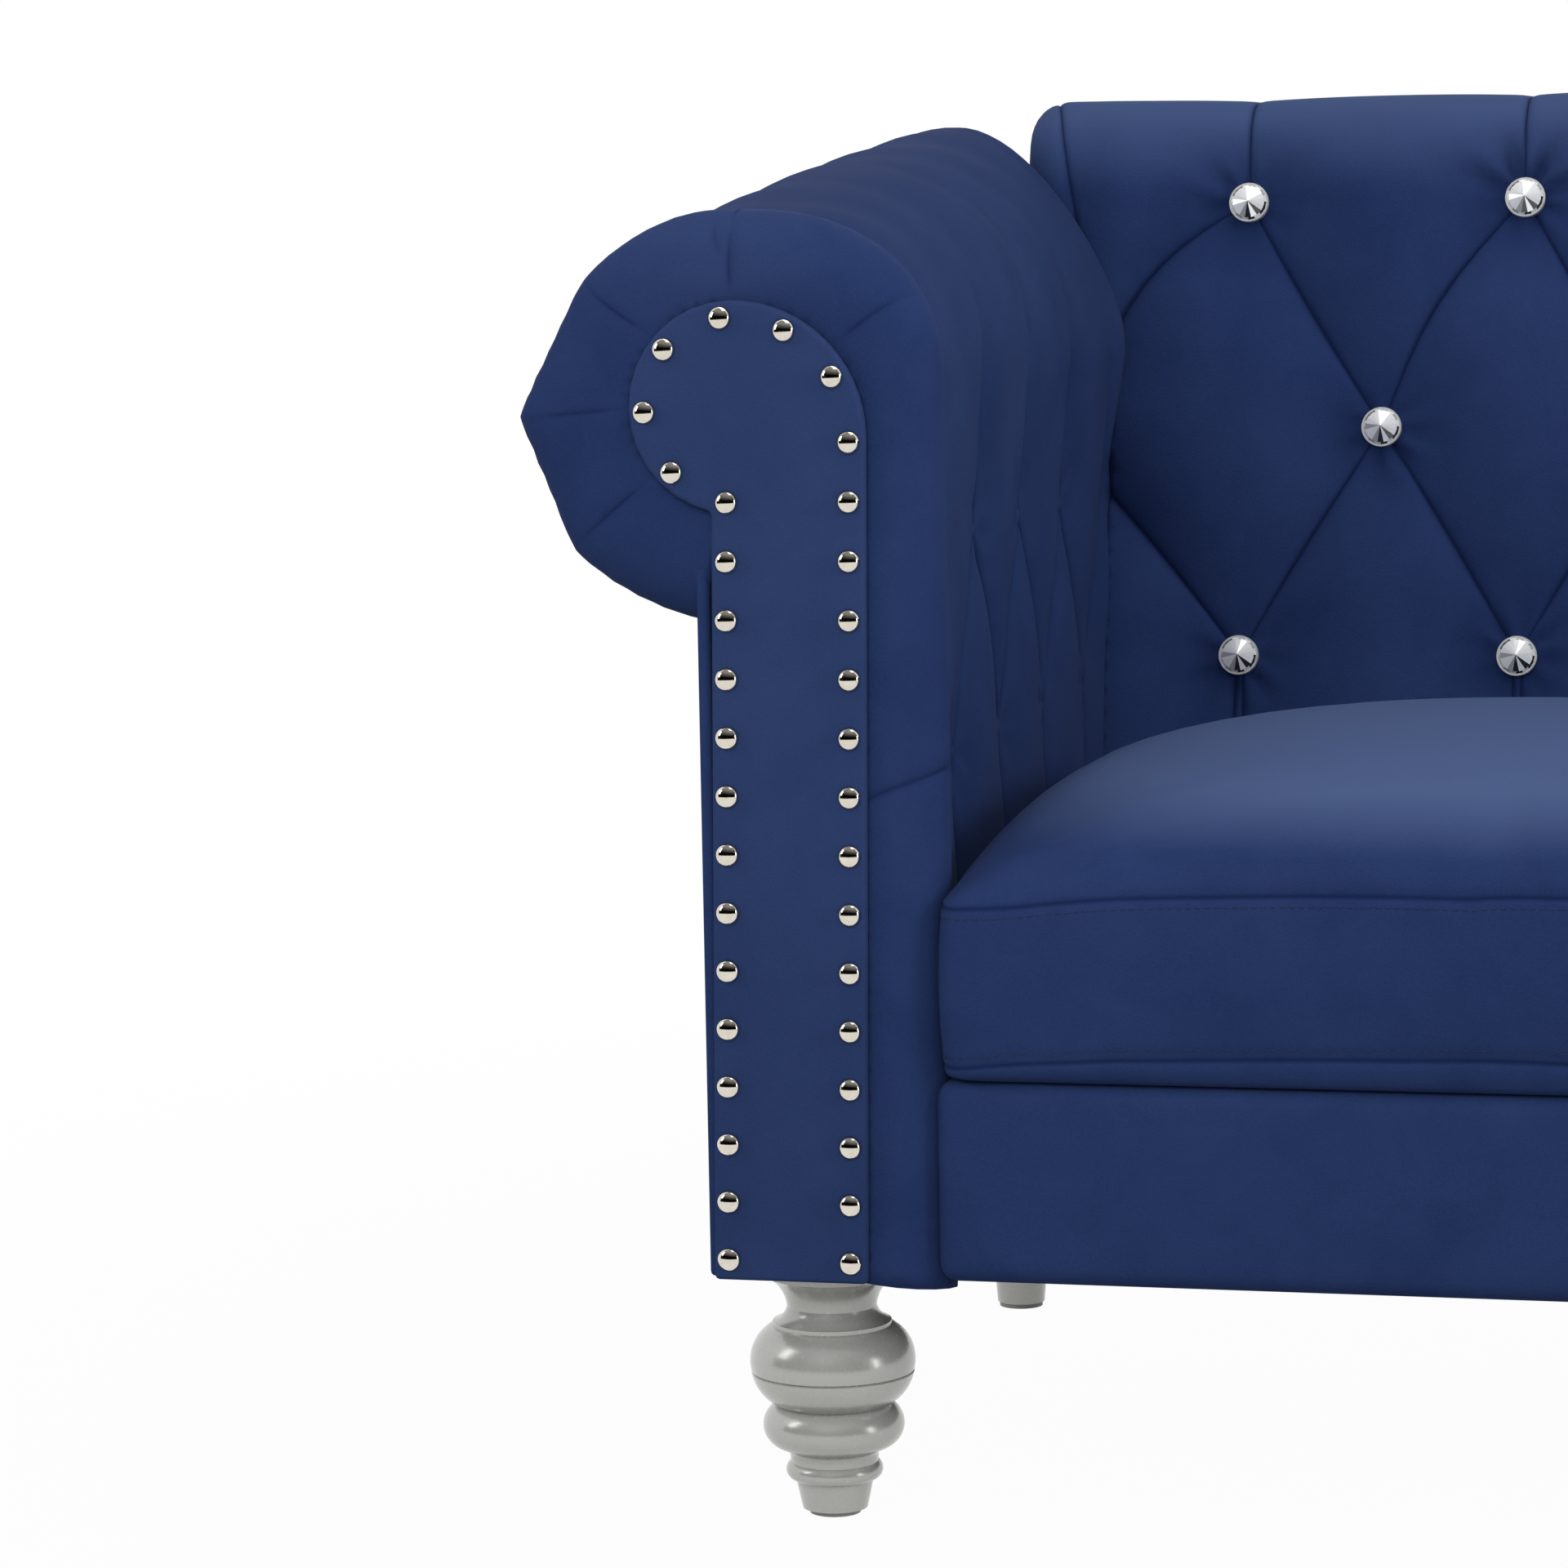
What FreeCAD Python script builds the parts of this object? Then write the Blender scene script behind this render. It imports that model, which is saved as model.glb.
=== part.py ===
import FreeCAD
import Part
import Sketcher
import math
import os

from FreeCAD import Vector

# Two-seat scroll-arm settee, tufted, on turned front legs.
# Millimetres, +X to the right of a viewer in front, +Y to the rear, +Z up.
# The origin is on the floor under the middle of the seat.

doc = FreeCAD.newDocument("loveseat")

SIZES = (
    ("overall_width", "1634"),
    ("overall_height", "783"),
    ("front_plane", "-381.5"),
    ("roll_overhang", "95"),
    ("arm_wall", "119"),
    ("arm_height", "701"),
    ("arm_rise", "55"),
    ("arm_length", "640"),
    ("roll_radius", "100"),
    ("core_radius", "70"),
    ("roll_liner", "3"),
    ("front_round", "30"),
    ("front_roll", "70"),
    ("facing_board", "8"),
    ("facing_inset", "26.6"),
    ("facing_head", "56.5"),
    ("facing_shoulder", "72.6"),
    ("facing_width", "84.7"),
    ("facing_drop", "34.5"),
    ("facing_lean", "6.5"),
    ("panel_board", "4"),
    ("foot_height", "140"),
    ("rail_height", "110"),
    ("boxing_height", "102"),
    ("cushion_crown", "66"),
    ("cushion_gap", "1.5"),
    ("seat_depth", "557"),
    ("back_lean", "0.2"),
    ("back_thickness", "130"),
    ("back_pad_depth", "40"),
    ("back_round", "26"),
    ("back_cap", "35"),
    ("ear_reach", "70"),
    ("back_tuft", "22"),
    ("back_pitch", "175"),
    ("back_row", "142"),
    ("back_first_row", "178"),
    ("arm_tuft", "16"),
    ("arm_pitch", "126"),
    ("arm_row", "118"),
    ("arm_first_row", "164"),
    ("fold_gap", "1.5"),
    ("crystal_diameter", "25"),
    ("crystal_rise", "6.5"),
    ("cup_rise", "4.5"),
    ("button_diameter", "18"),
    ("button_rise", "5"),
    ("nail_diameter", "13"),
    ("nail_rise", "4.5"),
    ("nail_inset", "9.5"),
    ("post_board", "20"),
    ("rail_board", "22"),
    ("rail_depth", "90"),
    ("brace_drop", "10"),
    ("back_post_width", "40"),
    ("top_rail_board", "22"),
    ("arm_rail_width", "60"),
    ("arm_rail_board", "30"),
    ("border_set", "10"),
    ("border_depth", "36"),
    ("border_round", "9"),
    ("webbing_width", "60"),
    ("webbing", "2"),
    ("webbing_spacing", "160"),
    ("dust_cloth", "2"),
    ("block_length", "66"),
    ("block_height", "40"),
    ("front_leg_out", "67"),
    ("front_leg_set", "58"),
    ("rear_leg_out", "73"),
    ("rear_leg_set", "46"),
    ("leg_collar", "38"),
    ("leg_neck", "24.7"),
    ("leg_bulb", "45.4"),
    ("leg_waist", "31.5"),
    ("leg_bead", "38.9"),
    ("leg_ring", "26.7"),
    ("leg_foot", "18"),
    ("rear_leg_top", "27"),
    ("rear_leg_foot", "15.3"),
    ("bolt_diameter", "8"),
    ("bolt_depth", "30"),
    ("plate_width", "38"),
    ("plate", "2"),
    ("glide", "3"),
    ("glide_diameter", "28"),
    ("fit_clearance", "0.3"),
)

dims = doc.addObject("Spreadsheet::Sheet", "dims")
for row, (alias, text) in enumerate(SIZES, 1):
    dims.set("A%d" % row, alias)
    dims.set("B%d" % row, text)
    dims.setAlias("B%d" % row, alias)
doc.recompute()


def size(alias):
    return float(dims.get(alias))


nodes = []


def keep(item, label):
    item.Label = label
    nodes.append(item)
    return item


def solid_feature(label, shape):
    item = doc.addObject("Part::Feature", label)
    item.Shape = shape
    item.Placement = FreeCAD.Placement()
    return keep(item, label)


def bind(item, **expressions):
    for name, text in expressions.items():
        item.setExpression(name.replace("__", "."), text)


def box(label, x0, x1, y0, y1, z0, z1):
    item = doc.addObject("Part::Box", label)
    bind(item, Length="(%s) - (%s)" % (x1, x0), Width="(%s) - (%s)" % (y1, y0))
    bind(item, Height="(%s) - (%s)" % (z1, z0), Placement__Base__x=x0)
    bind(item, Placement__Base__y=y0, Placement__Base__z=z0)
    return item


def sketch_on(body, plane, name):
    sketch = body.newObject("Sketcher::SketchObject", name)
    face = [f for f in body.Origin.OriginFeatures if f.Role == plane][0]
    sketch.AttachmentSupport = [(face, "")]
    sketch.MapMode = "FlatFace"
    return sketch


def outline(sketch, edges):
    # Edges come as point pairs for lines and point triples for arcs, head to tail.
    for edge in edges:
        points = [Vector(p[0], p[1], 0) for p in edge]
        if len(points) == 2:
            sketch.addGeometry(Part.LineSegment(points[0], points[1]), False)
        else:
            sketch.addGeometry(Part.Arc(points[0], points[1], points[2]), False)
    count = len(edges)
    for i in range(count):
        j = (i + 1) % count
        gap = [(a, b) for a in (1, 2) for b in (1, 2)
               if sketch.getPoint(i, a).distanceToPoint(sketch.getPoint(j, b)) < 1e-6]
        sketch.addConstraint(Sketcher.Constraint("Coincident", i, gap[0][0], j, gap[0][1]))


def polygon(points):
    return [(points[i], points[(i + 1) % len(points)]) for i in range(len(points))]


def slab_x(label, edges, start, length):
    # A flat piece drawn in side view (Y, Z) and padded along X from start.
    body = doc.addObject("PartDesign::Body", label)
    sketch = sketch_on(body, "YZ_Plane", label + "_outline")
    bind(sketch, AttachmentOffset__Base__z=start)
    outline(sketch, edges)
    pad = body.newObject("PartDesign::Pad", label + "_pad")
    pad.Profile = sketch
    pad.setExpression("Length", length)
    return keep(body, label)


def slab_y(label, edges, start, length):
    # A flat piece drawn in front view (X, Z) and padded towards the rear from start.
    body = doc.addObject("PartDesign::Body", label)
    sketch = sketch_on(body, "XZ_Plane", label + "_outline")
    bind(sketch, AttachmentOffset__Base__z="-(%s)" % start)
    outline(sketch, edges)
    pad = body.newObject("PartDesign::Pad", label + "_pad")
    pad.Profile = sketch
    pad.Reversed = True
    pad.setExpression("Length", length)
    return keep(body, label)


def wire(edges):
    made = []
    for edge in edges:
        points = [Vector(*p) for p in edge]
        if len(points) == 2:
            made.append(Part.LineSegment(points[0], points[1]).toShape())
        else:
            made.append(Part.Arc(points[0], points[1], points[2]).toShape())
    return Part.Wire(made)


def loft(sections, ruled):
    return Part.makeLoft([wire(s) for s in sections], True, ruled)


SIDES = (("left", -1), ("right", 1))

# Levels and planes that several pieces share.
front = size("front_plane")
outer = size("overall_width") / 2 - size("roll_overhang")
half = outer - size("arm_wall")
deck_z = size("foot_height") + size("rail_height")
seat_z = deck_z + size("boxing_height")
roll_u = size("overall_width") / 2 - size("roll_radius")
roll_z = size("arm_height") - size("roll_radius")
clear = size("fit_clearance")
lean = size("back_lean")
top_z = size("overall_height")
pad_front = front + size("facing_board")
post_front = pad_front + size("front_round")
arm_end = front + size("arm_length")
pad_end = arm_end - size("facing_board")
split_drop = 11.0
split_z = roll_z - split_drop


def fold_y(z):
    # The raked plane that the back's buttons are pulled to.
    return front + size("seat_depth") + lean * (z - seat_z)


FRONT = "dims.front_plane"
OUTER = "(dims.overall_width / 2 - dims.roll_overhang)"
HALF = "(dims.overall_width / 2 - dims.roll_overhang - dims.arm_wall)"
EAR = "(dims.overall_width / 2 - dims.roll_overhang - dims.arm_wall + dims.ear_reach)"
SIDE_GAP = "3"
DECK = "(dims.foot_height + dims.rail_height)"
CLOTH = "(dims.foot_height + dims.dust_cloth)"
POST_FRONT = "(dims.front_plane + dims.facing_board + dims.front_round)"
ARM_END = "(dims.front_plane + dims.arm_length)"
PAD_END = "(dims.front_plane + dims.arm_length - dims.facing_board)"
BLOCK_IN = "(dims.overall_width / 2 - dims.roll_radius - dims.core_radius)"
BOARD_OUT = "(dims.overall_width / 2 - dims.roll_overhang - dims.panel_board)"
RAIL_TOP = "(dims.foot_height + dims.dust_cloth + dims.rail_depth)"
BACK_RAIL = ("(dims.front_plane + dims.seat_depth"
             " - dims.back_lean * dims.boxing_height)")
RAIL_FRONT = "(dims.front_plane + dims.border_set + dims.border_depth)"

# Seat frame: rails, centre brace and the four blocks that carry the legs.
keep(box("seat_front_rail", "-" + BLOCK_IN, BLOCK_IN, RAIL_FRONT,
         RAIL_FRONT + " + dims.rail_board", CLOTH, RAIL_TOP), "seat_front_rail")
keep(box("seat_back_rail", "-(%s - dims.rail_board)" % BOARD_OUT,
         "%s - dims.rail_board" % BOARD_OUT, BACK_RAIL + " - dims.rail_board", BACK_RAIL,
         CLOTH, RAIL_TOP), "seat_back_rail")
keep(box("seat_center_brace", "-dims.rail_board / 2", "dims.rail_board / 2",
         RAIL_FRONT + " + dims.rail_board", BACK_RAIL + " - dims.rail_board",
         CLOTH, RAIL_TOP + " - dims.brace_drop"), "seat_center_brace")
for name, side in SIDES:
    low = "-" + BOARD_OUT if side < 0 else "%s - dims.rail_board" % BOARD_OUT
    high = "-%s + dims.rail_board" % BOARD_OUT if side < 0 else BOARD_OUT
    keep(box("seat_side_rail_" + name, low, high, POST_FRONT + " + dims.block_length",
             PAD_END + " - dims.block_length", CLOTH, RAIL_TOP), "seat_side_rail_" + name)

# Frame behind the back: three sawn posts with a vertical foot, and a top rail.
back_in = size("back_pad_depth")
back_out = size("back_thickness") - size("panel_board")
cloth_z = size("foot_height") + size("dust_cloth")
rail_z = cloth_z + size("rail_depth")
cap_z = top_z - size("back_cap")
post_z = cap_z - size("top_rail_board")
rail_y = fold_y(deck_z)
post_points = [(rail_y, cloth_z), (rail_y, rail_z), (fold_y(deck_z) + back_in, deck_z),
               (fold_y(post_z) + back_in, post_z), (fold_y(post_z) + back_out, post_z),
               (fold_y(cloth_z) + back_out, cloth_z)]
POST_OUT = "(%s - %s - dims.back_post_width)" % (HALF, SIDE_GAP)
slab_x("back_post_left", polygon(post_points), "-%s - dims.back_post_width" % POST_OUT,
       "dims.back_post_width")
slab_x("back_post_center", polygon(post_points), "-dims.back_post_width / 2",
       "dims.back_post_width")
slab_x("back_post_right", polygon(post_points), POST_OUT, "dims.back_post_width")
top_points = [(fold_y(post_z) + back_in, post_z), (fold_y(cap_z) + back_in, cap_z),
              (fold_y(cap_z) + back_out, cap_z), (fold_y(post_z) + back_out, post_z)]
slab_x("back_top_rail", polygon(top_points), "-(%s - dims.panel_board)" % EAR,
       "2 * (%s - dims.panel_board)" % EAR)

# Outside back: one raked covered board, and a narrow covered board at each end.
rear_in = [fold_y(z) + back_out for z in (size("foot_height"), cap_z)]
rear_out = [fold_y(z) + size("back_thickness") for z in (size("foot_height"), cap_z)]
rear_points = [(rear_in[0], size("foot_height")), (rear_in[1], cap_z),
               (rear_out[1], cap_z), (rear_out[0], size("foot_height"))]
slab_x("back_rear_panel", polygon(rear_points), "-" + EAR, "2 * " + EAR)
end_y = arm_end + clear
end_low = seat_z + (end_y - clear - front - size("seat_depth") - back_out) / lean
end_mid = seat_z + (end_y - clear - front - size("seat_depth") - back_in) / lean
end_low = max(end_low, size("foot_height"))
end_points = [(end_y, end_low + 2 * clear / lean), (end_y, end_mid),
              (fold_y(cap_z) + back_in + clear, cap_z), (fold_y(cap_z) + back_out, cap_z),
              (fold_y(end_low + 2 * clear / lean) + back_out, end_low + 2 * clear / lean)]
slab_x("back_side_panel_left", polygon(end_points), "-" + EAR, "dims.panel_board")
slab_x("back_side_panel_right", polygon(end_points), EAR + " - dims.panel_board",
       "dims.panel_board")


def pillow(origin, across, up, out, rows, rise, pitch):
    # One stuffed diamond between folds: arcs over chords that follow the folds upward.
    sections = []
    gap = size("fold_gap") / 2
    for height, low, high, fullness in rows:
        low = low + gap
        high = high - gap
        crown = rise * fullness * min(1.0, ((high - low) / (pitch - 2 * gap)) ** 0.6)
        base = origin + up * height
        a = base + across * low
        b = base + across * high
        m = base + across * ((low + high) / 2) + out * crown
        sink = out * -1.0
        sections.append([(a, m, b), (b, b + sink), (b + sink, a + sink), (a + sink, a)])
    return loft([[tuple(tuple(p) for p in e) for e in s] for s in sections], True)


TIP = 8.0


def diamond(origin, across, up, out, centre, level, low, high, rise, pitch, row):
    # Button above, button below, folds from both to the buttons at either side.
    rows = []
    for step in (-1.0, -0.8, -0.5, 0.0, 0.5, 0.8, 1.0):
        reach = max(TIP / 2, pitch / 2 * (1 - abs(step)))
        a = max(low, min(centre - reach, high - TIP))
        b = min(high, max(centre + reach, low + TIP))
        rows.append((level + step * row, a, b, 1.0))
    return pillow(origin, across, up, out, rows, rise, pitch)


def pleated(origin, across, up, out, centre, level, tip, end, low, high, rise, pitch, finish):
    # Like a diamond at the tip, then straight pleats from the row of buttons to the edge.
    rows = []
    for step in (1.0, 0.8, 0.5, 0.0):
        reach = max(TIP / 2, pitch / 2 * (1 - step))
        a = max(low, min(centre - reach, high - TIP))
        b = min(high, max(centre + reach, low + TIP))
        rows.append((level + step * (tip - level), a, b, 1.0))
    a = max(low, centre - pitch / 2)
    b = min(high, centre + pitch / 2)
    rows.append((level + 0.5 * (end - level), a, b, 0.5 + finish / 2))
    rows.append((end, a, b, finish))
    if tip > end:
        rows.reverse()
    return pillow(origin, across, up, out, rows, rise, pitch)


# Tufted back pad, wrapped over the top rail, with plain ends over the arms.
slope = math.sqrt(1 + lean * lean)
up_back = Vector(0, lean / slope, 1 / slope)
out_back = Vector(0, -1 / slope, lean / slope)
across_back = Vector(1, 0, 0)
origin_back = Vector(0, fold_y(deck_z), deck_z)
r_top = size("back_round")
r_front = 1.5 * r_top
front_c = (fold_y(top_z - r_front) + r_front * slope, top_z - r_front)
rear_c = (fold_y(top_z - r_top) + size("back_thickness") - r_top * slope, top_z - r_top)
cut_z = rear_c[1] - r_top * lean / slope
diag = math.sqrt(0.5)
back_section = [
    ((fold_y(deck_z), deck_z),
     (front_c[0] - r_front / slope, front_c[1] + r_front * lean / slope)),
    ((front_c[0] - r_front / slope, front_c[1] + r_front * lean / slope),
     (front_c[0] - r_front * diag, front_c[1] + r_front * diag),
     (front_c[0], top_z)),
    ((front_c[0], top_z), (rear_c[0], top_z)),
    ((rear_c[0], top_z), (rear_c[0] + r_top * diag, rear_c[1] + r_top * diag),
     (rear_c[0] + r_top / slope, cut_z)),
    ((rear_c[0] + r_top / slope, cut_z),
     (fold_y(cap_z) + size("back_thickness"), cap_z)),
    ((fold_y(cap_z) + size("back_thickness"), cap_z), (fold_y(cap_z) + back_in, cap_z)),
    ((fold_y(cap_z) + back_in, cap_z), (fold_y(deck_z) + back_in, deck_z)),
    ((fold_y(deck_z) + back_in, deck_z), (fold_y(deck_z), deck_z)),
]
ear = half + size("ear_reach")
profile = wire([tuple((-ear, p[0], p[1]) for p in e) for e in back_section])
back_solid = Part.Face(profile).extrude(Vector(2 * ear, 0, 0))
edge_x = half - clear
reach_y = 400.0
for name, side in SIDES:
    slot = Part.makeBox(ear, reach_y, top_z + 1, Vector(edge_x, arm_end + clear - reach_y, 0))
    if side < 0:
        slot = slot.mirror(Vector(0, 0, 0), Vector(1, 0, 0))
    back_solid = back_solid.cut(slot)

pitch_b = size("back_pitch")
row_b = size("back_row") * slope
low_b = size("back_first_row") * slope
mid_b = low_b + row_b
high_b = mid_b + row_b
roof_b = (top_z - r_front - deck_z) * slope
fits = (edge_x - size("crystal_diameter")) / pitch_b
wide_n = int(fits)
narrow_n = int(fits + 0.5)
wide_x = [pitch_b * i for i in range(-wide_n, wide_n + 1)]
narrow_x = [pitch_b * (i + 0.5) for i in range(-narrow_n, narrow_n)]
gap_x = [pitch_b * (i + 0.5) for i in range(-wide_n - 1, wide_n + 1)]
tufts = []
for x in wide_x:
    tufts.append(diamond(origin_back, across_back, up_back, out_back, x, mid_b,
                         -edge_x, edge_x, size("back_tuft"), pitch_b, row_b))
for x in gap_x:
    tufts.append(pleated(origin_back, across_back, up_back, out_back, x, low_b, mid_b, 0.5,
                         -edge_x, edge_x, size("back_tuft"), pitch_b, 0.9))
    tufts.append(pleated(origin_back, across_back, up_back, out_back, x, high_b, mid_b,
                         roof_b, -edge_x, edge_x, size("back_tuft"), pitch_b, 0.35))
back_solid = back_solid.fuse(tufts)
back_buttons = [(x, low_b) for x in wide_x]
back_buttons += [(x, mid_b) for x in narrow_x]
back_buttons += [(x, high_b) for x in wide_x]
dish = size("crystal_diameter") / 2 + 2
dishes = []
for x, b in back_buttons:
    seat = origin_back + across_back * x + up_back * b
    dishes.append(Part.makeCone(dish, dish + size("back_tuft"), size("back_tuft") * 1.5, seat,
                                out_back))
back_solid = back_solid.cut(dishes)
solid_feature("back_pad", back_solid.removeSplitter())

# Buttons of the back: a metal cup on the fold plane with a faceted stone set in it.
cups = []
stones = []
facets = 12
radius = size("crystal_diameter") / 2
girdle = size("cup_rise")
table = girdle + size("crystal_rise") * 0.35
point = girdle + size("crystal_rise")
for x, b in back_buttons:
    seat = origin_back + across_back * x + up_back * b
    cups.append(Part.makeCylinder(radius, girdle, seat, out_back))
    rings = []
    for r, n in ((radius - 1, girdle), (radius - 2.4, table)):
        ring = []
        for k in range(facets):
            turn = 2 * math.pi * k / facets
            ring.append(seat + across_back * (r * math.cos(turn))
                        + up_back * (r * math.sin(turn)) + out_back * n)
        rings.append(ring)
    apex = seat + out_back * point
    faces = [Part.Face(Part.makePolygon(rings[0] + [rings[0][0]]))]
    for k in range(facets):
        j = (k + 1) % facets
        quad = [rings[0][k], rings[0][j], rings[1][j], rings[1][k], rings[0][k]]
        faces.append(Part.Face(Part.makePolygon(quad)))
        faces.append(Part.Face(Part.makePolygon([rings[1][k], rings[1][j], apex, rings[1][k]])))
    stone = Part.Solid(Part.Shell(faces))
    if stone.Volume < 0:
        stone.reverse()
    stones.append(stone)
solid_feature("crystal_cups", Part.makeCompound(cups))
solid_feature("crystal_stones", Part.makeCompound(stones))


def around(u, z, r, degrees):
    turn = math.radians(degrees)
    return (u + r * math.cos(turn), z + r * math.sin(turn))


roll_r = size("roll_radius")
rise = size("arm_rise")
roll_c = outer + clear
PLEATS = (97, 46, 2, -40)
MIDDLES = (68, 24, -19, -64)


def roll_points(part):
    # Corners and mid points of the roll's skin at the front (0), rear (1) or between.
    z = roll_z + rise * part
    corners = [(half, split_z), (half, roll_z + 17 - 2 * part),
               (half + 10 + 12 * part, roll_z + 64 + 7 * part)]
    corners += [around(roll_u, z, roll_r * (1.0 if a in (97, 2) else 1.03), a) for a in PLEATS]
    corners.append((roll_c, z - math.sqrt(roll_r ** 2 - (roll_c - roll_u) ** 2)))
    middles = [None, (half + 1.5 + 4.5 * part, roll_z + 42 + 3 * part),
               (half + 47 + 5 * part, roll_z + 93 + 32 * part)]
    middles += [around(roll_u, z, roll_r, a) for a in MIDDLES]
    return corners, middles


# Covered facing of each scroll arm: a two-radius head on a slightly leaning column.
face_low = half + size("facing_inset")
face_high = face_low + size("facing_width")
face_lean = size("facing_lean")
head_u = face_low + size("facing_shoulder")
head_top = size("arm_height") - size("facing_drop")
head_r = size("facing_head")
head_z = head_top - head_r
bow_r = size("facing_shoulder")
bow_z = head_top - bow_r
foot_z = size("foot_height")


def facing(inset, bottom):
    # The facing's outline, or a line that runs at an even inset inside it.
    r1 = head_r - inset
    r2 = bow_r - inset
    left = face_high - inset
    right = face_low + inset
    neck = head_z - math.sqrt(r1 ** 2 - (left - head_u) ** 2)
    turn = math.degrees(math.atan2(neck - head_z, left - head_u))
    return [((left + face_lean, bottom), (left, neck)),
            ((left, neck), around(head_u, head_z, r1, (turn + 90) / 2), (head_u, head_top - inset)),
            ((head_u, head_top - inset), around(head_u, bow_z, r2, 135), (right, bow_z)),
            ((right, bow_z), (right + face_lean, bottom))]


for name, side in SIDES:
    edges = facing(0, foot_z)
    edges.append((edges[3][1], edges[0][0]))
    edges = [tuple((side * p[0], p[1]) for p in e) for e in edges]
    slab_y("arm_front_panel_" + name, edges, FRONT, "dims.facing_board")


def dome(seat, way, base, height):
    r = (base ** 2 + height ** 2) / (2 * height)
    low = math.degrees(math.asin((r - height) / r))
    return Part.makeSphere(r, seat - way * (r - height), way, low, 90, 360)


# Nailheads along each facing, evenly spaced from one bottom corner to the other.
NAILS = 35
nail_r = size("nail_diameter") / 2
for name, side in SIDES:
    track = wire([tuple((side * p[0], front, p[1]) for p in e)
                  for e in facing(size("nail_inset"), foot_z + 2 * nail_r)])
    spots = track.discretize(NAILS)
    heads = [dome(p, Vector(0, -1, 0), nail_r, size("nail_rise")) for p in spots]
    solid_feature("nailheads_" + name, Part.makeCompound(heads))

# Scroll roll of each arm: pleated front, skin over a liner, rising a little to the rear.
core_r = size("core_radius") + clear
ring_r = 2.0


def mix(a, b, part):
    return tuple(a[i] + (b[i] - a[i]) * part for i in range(2))


def front_points():
    r1 = head_r + ring_r
    r2 = bow_r + ring_r
    edge = face_low - ring_r
    corners = [(edge, split_z), (edge, roll_z + 11), around(head_u, bow_z, r2, 141)]
    corners += [around(head_u, head_z, r1, a) for a in (87, 37, -2, -39)]
    corners.append((roll_c, head_z - math.sqrt(r1 ** 2 - (roll_c - head_u) ** 2)))
    middles = [None, around(head_u, bow_z, r2, 161), around(head_u, bow_z, r2, 113)]
    middles += [around(head_u, head_z, r1, a) for a in (62, 18, -20, -56)]
    return corners, middles


def skin(corners, middles):
    edges = [(corners[0], corners[1])]
    for k in range(1, 7):
        edges.append((corners[k], middles[k], corners[k + 1]))
    return edges


def core_arcs(z, r, first):
    # From the outside bottom over the top to the inner side, in three equal arcs.
    step = (180 - first) / 6
    return [tuple(around(roll_u, z, r, first + step * (2 * k + j)) for j in range(3))
            for k in range(3)]


def place(edges, side, y):
    return [tuple((side * p[0], y, p[1]) for p in e) for e in edges]


arm_run = pad_end - post_front
board_out = outer - size("panel_board")
pad_out = roll_u - size("core_radius") - clear
post_r = size("core_radius") - size("roll_liner")
block_top = cloth_z + size("block_height")


def arm_part(y):
    return (y - post_front) / arm_run


def roll_level(y):
    return roll_z + rise * arm_part(y)


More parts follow.
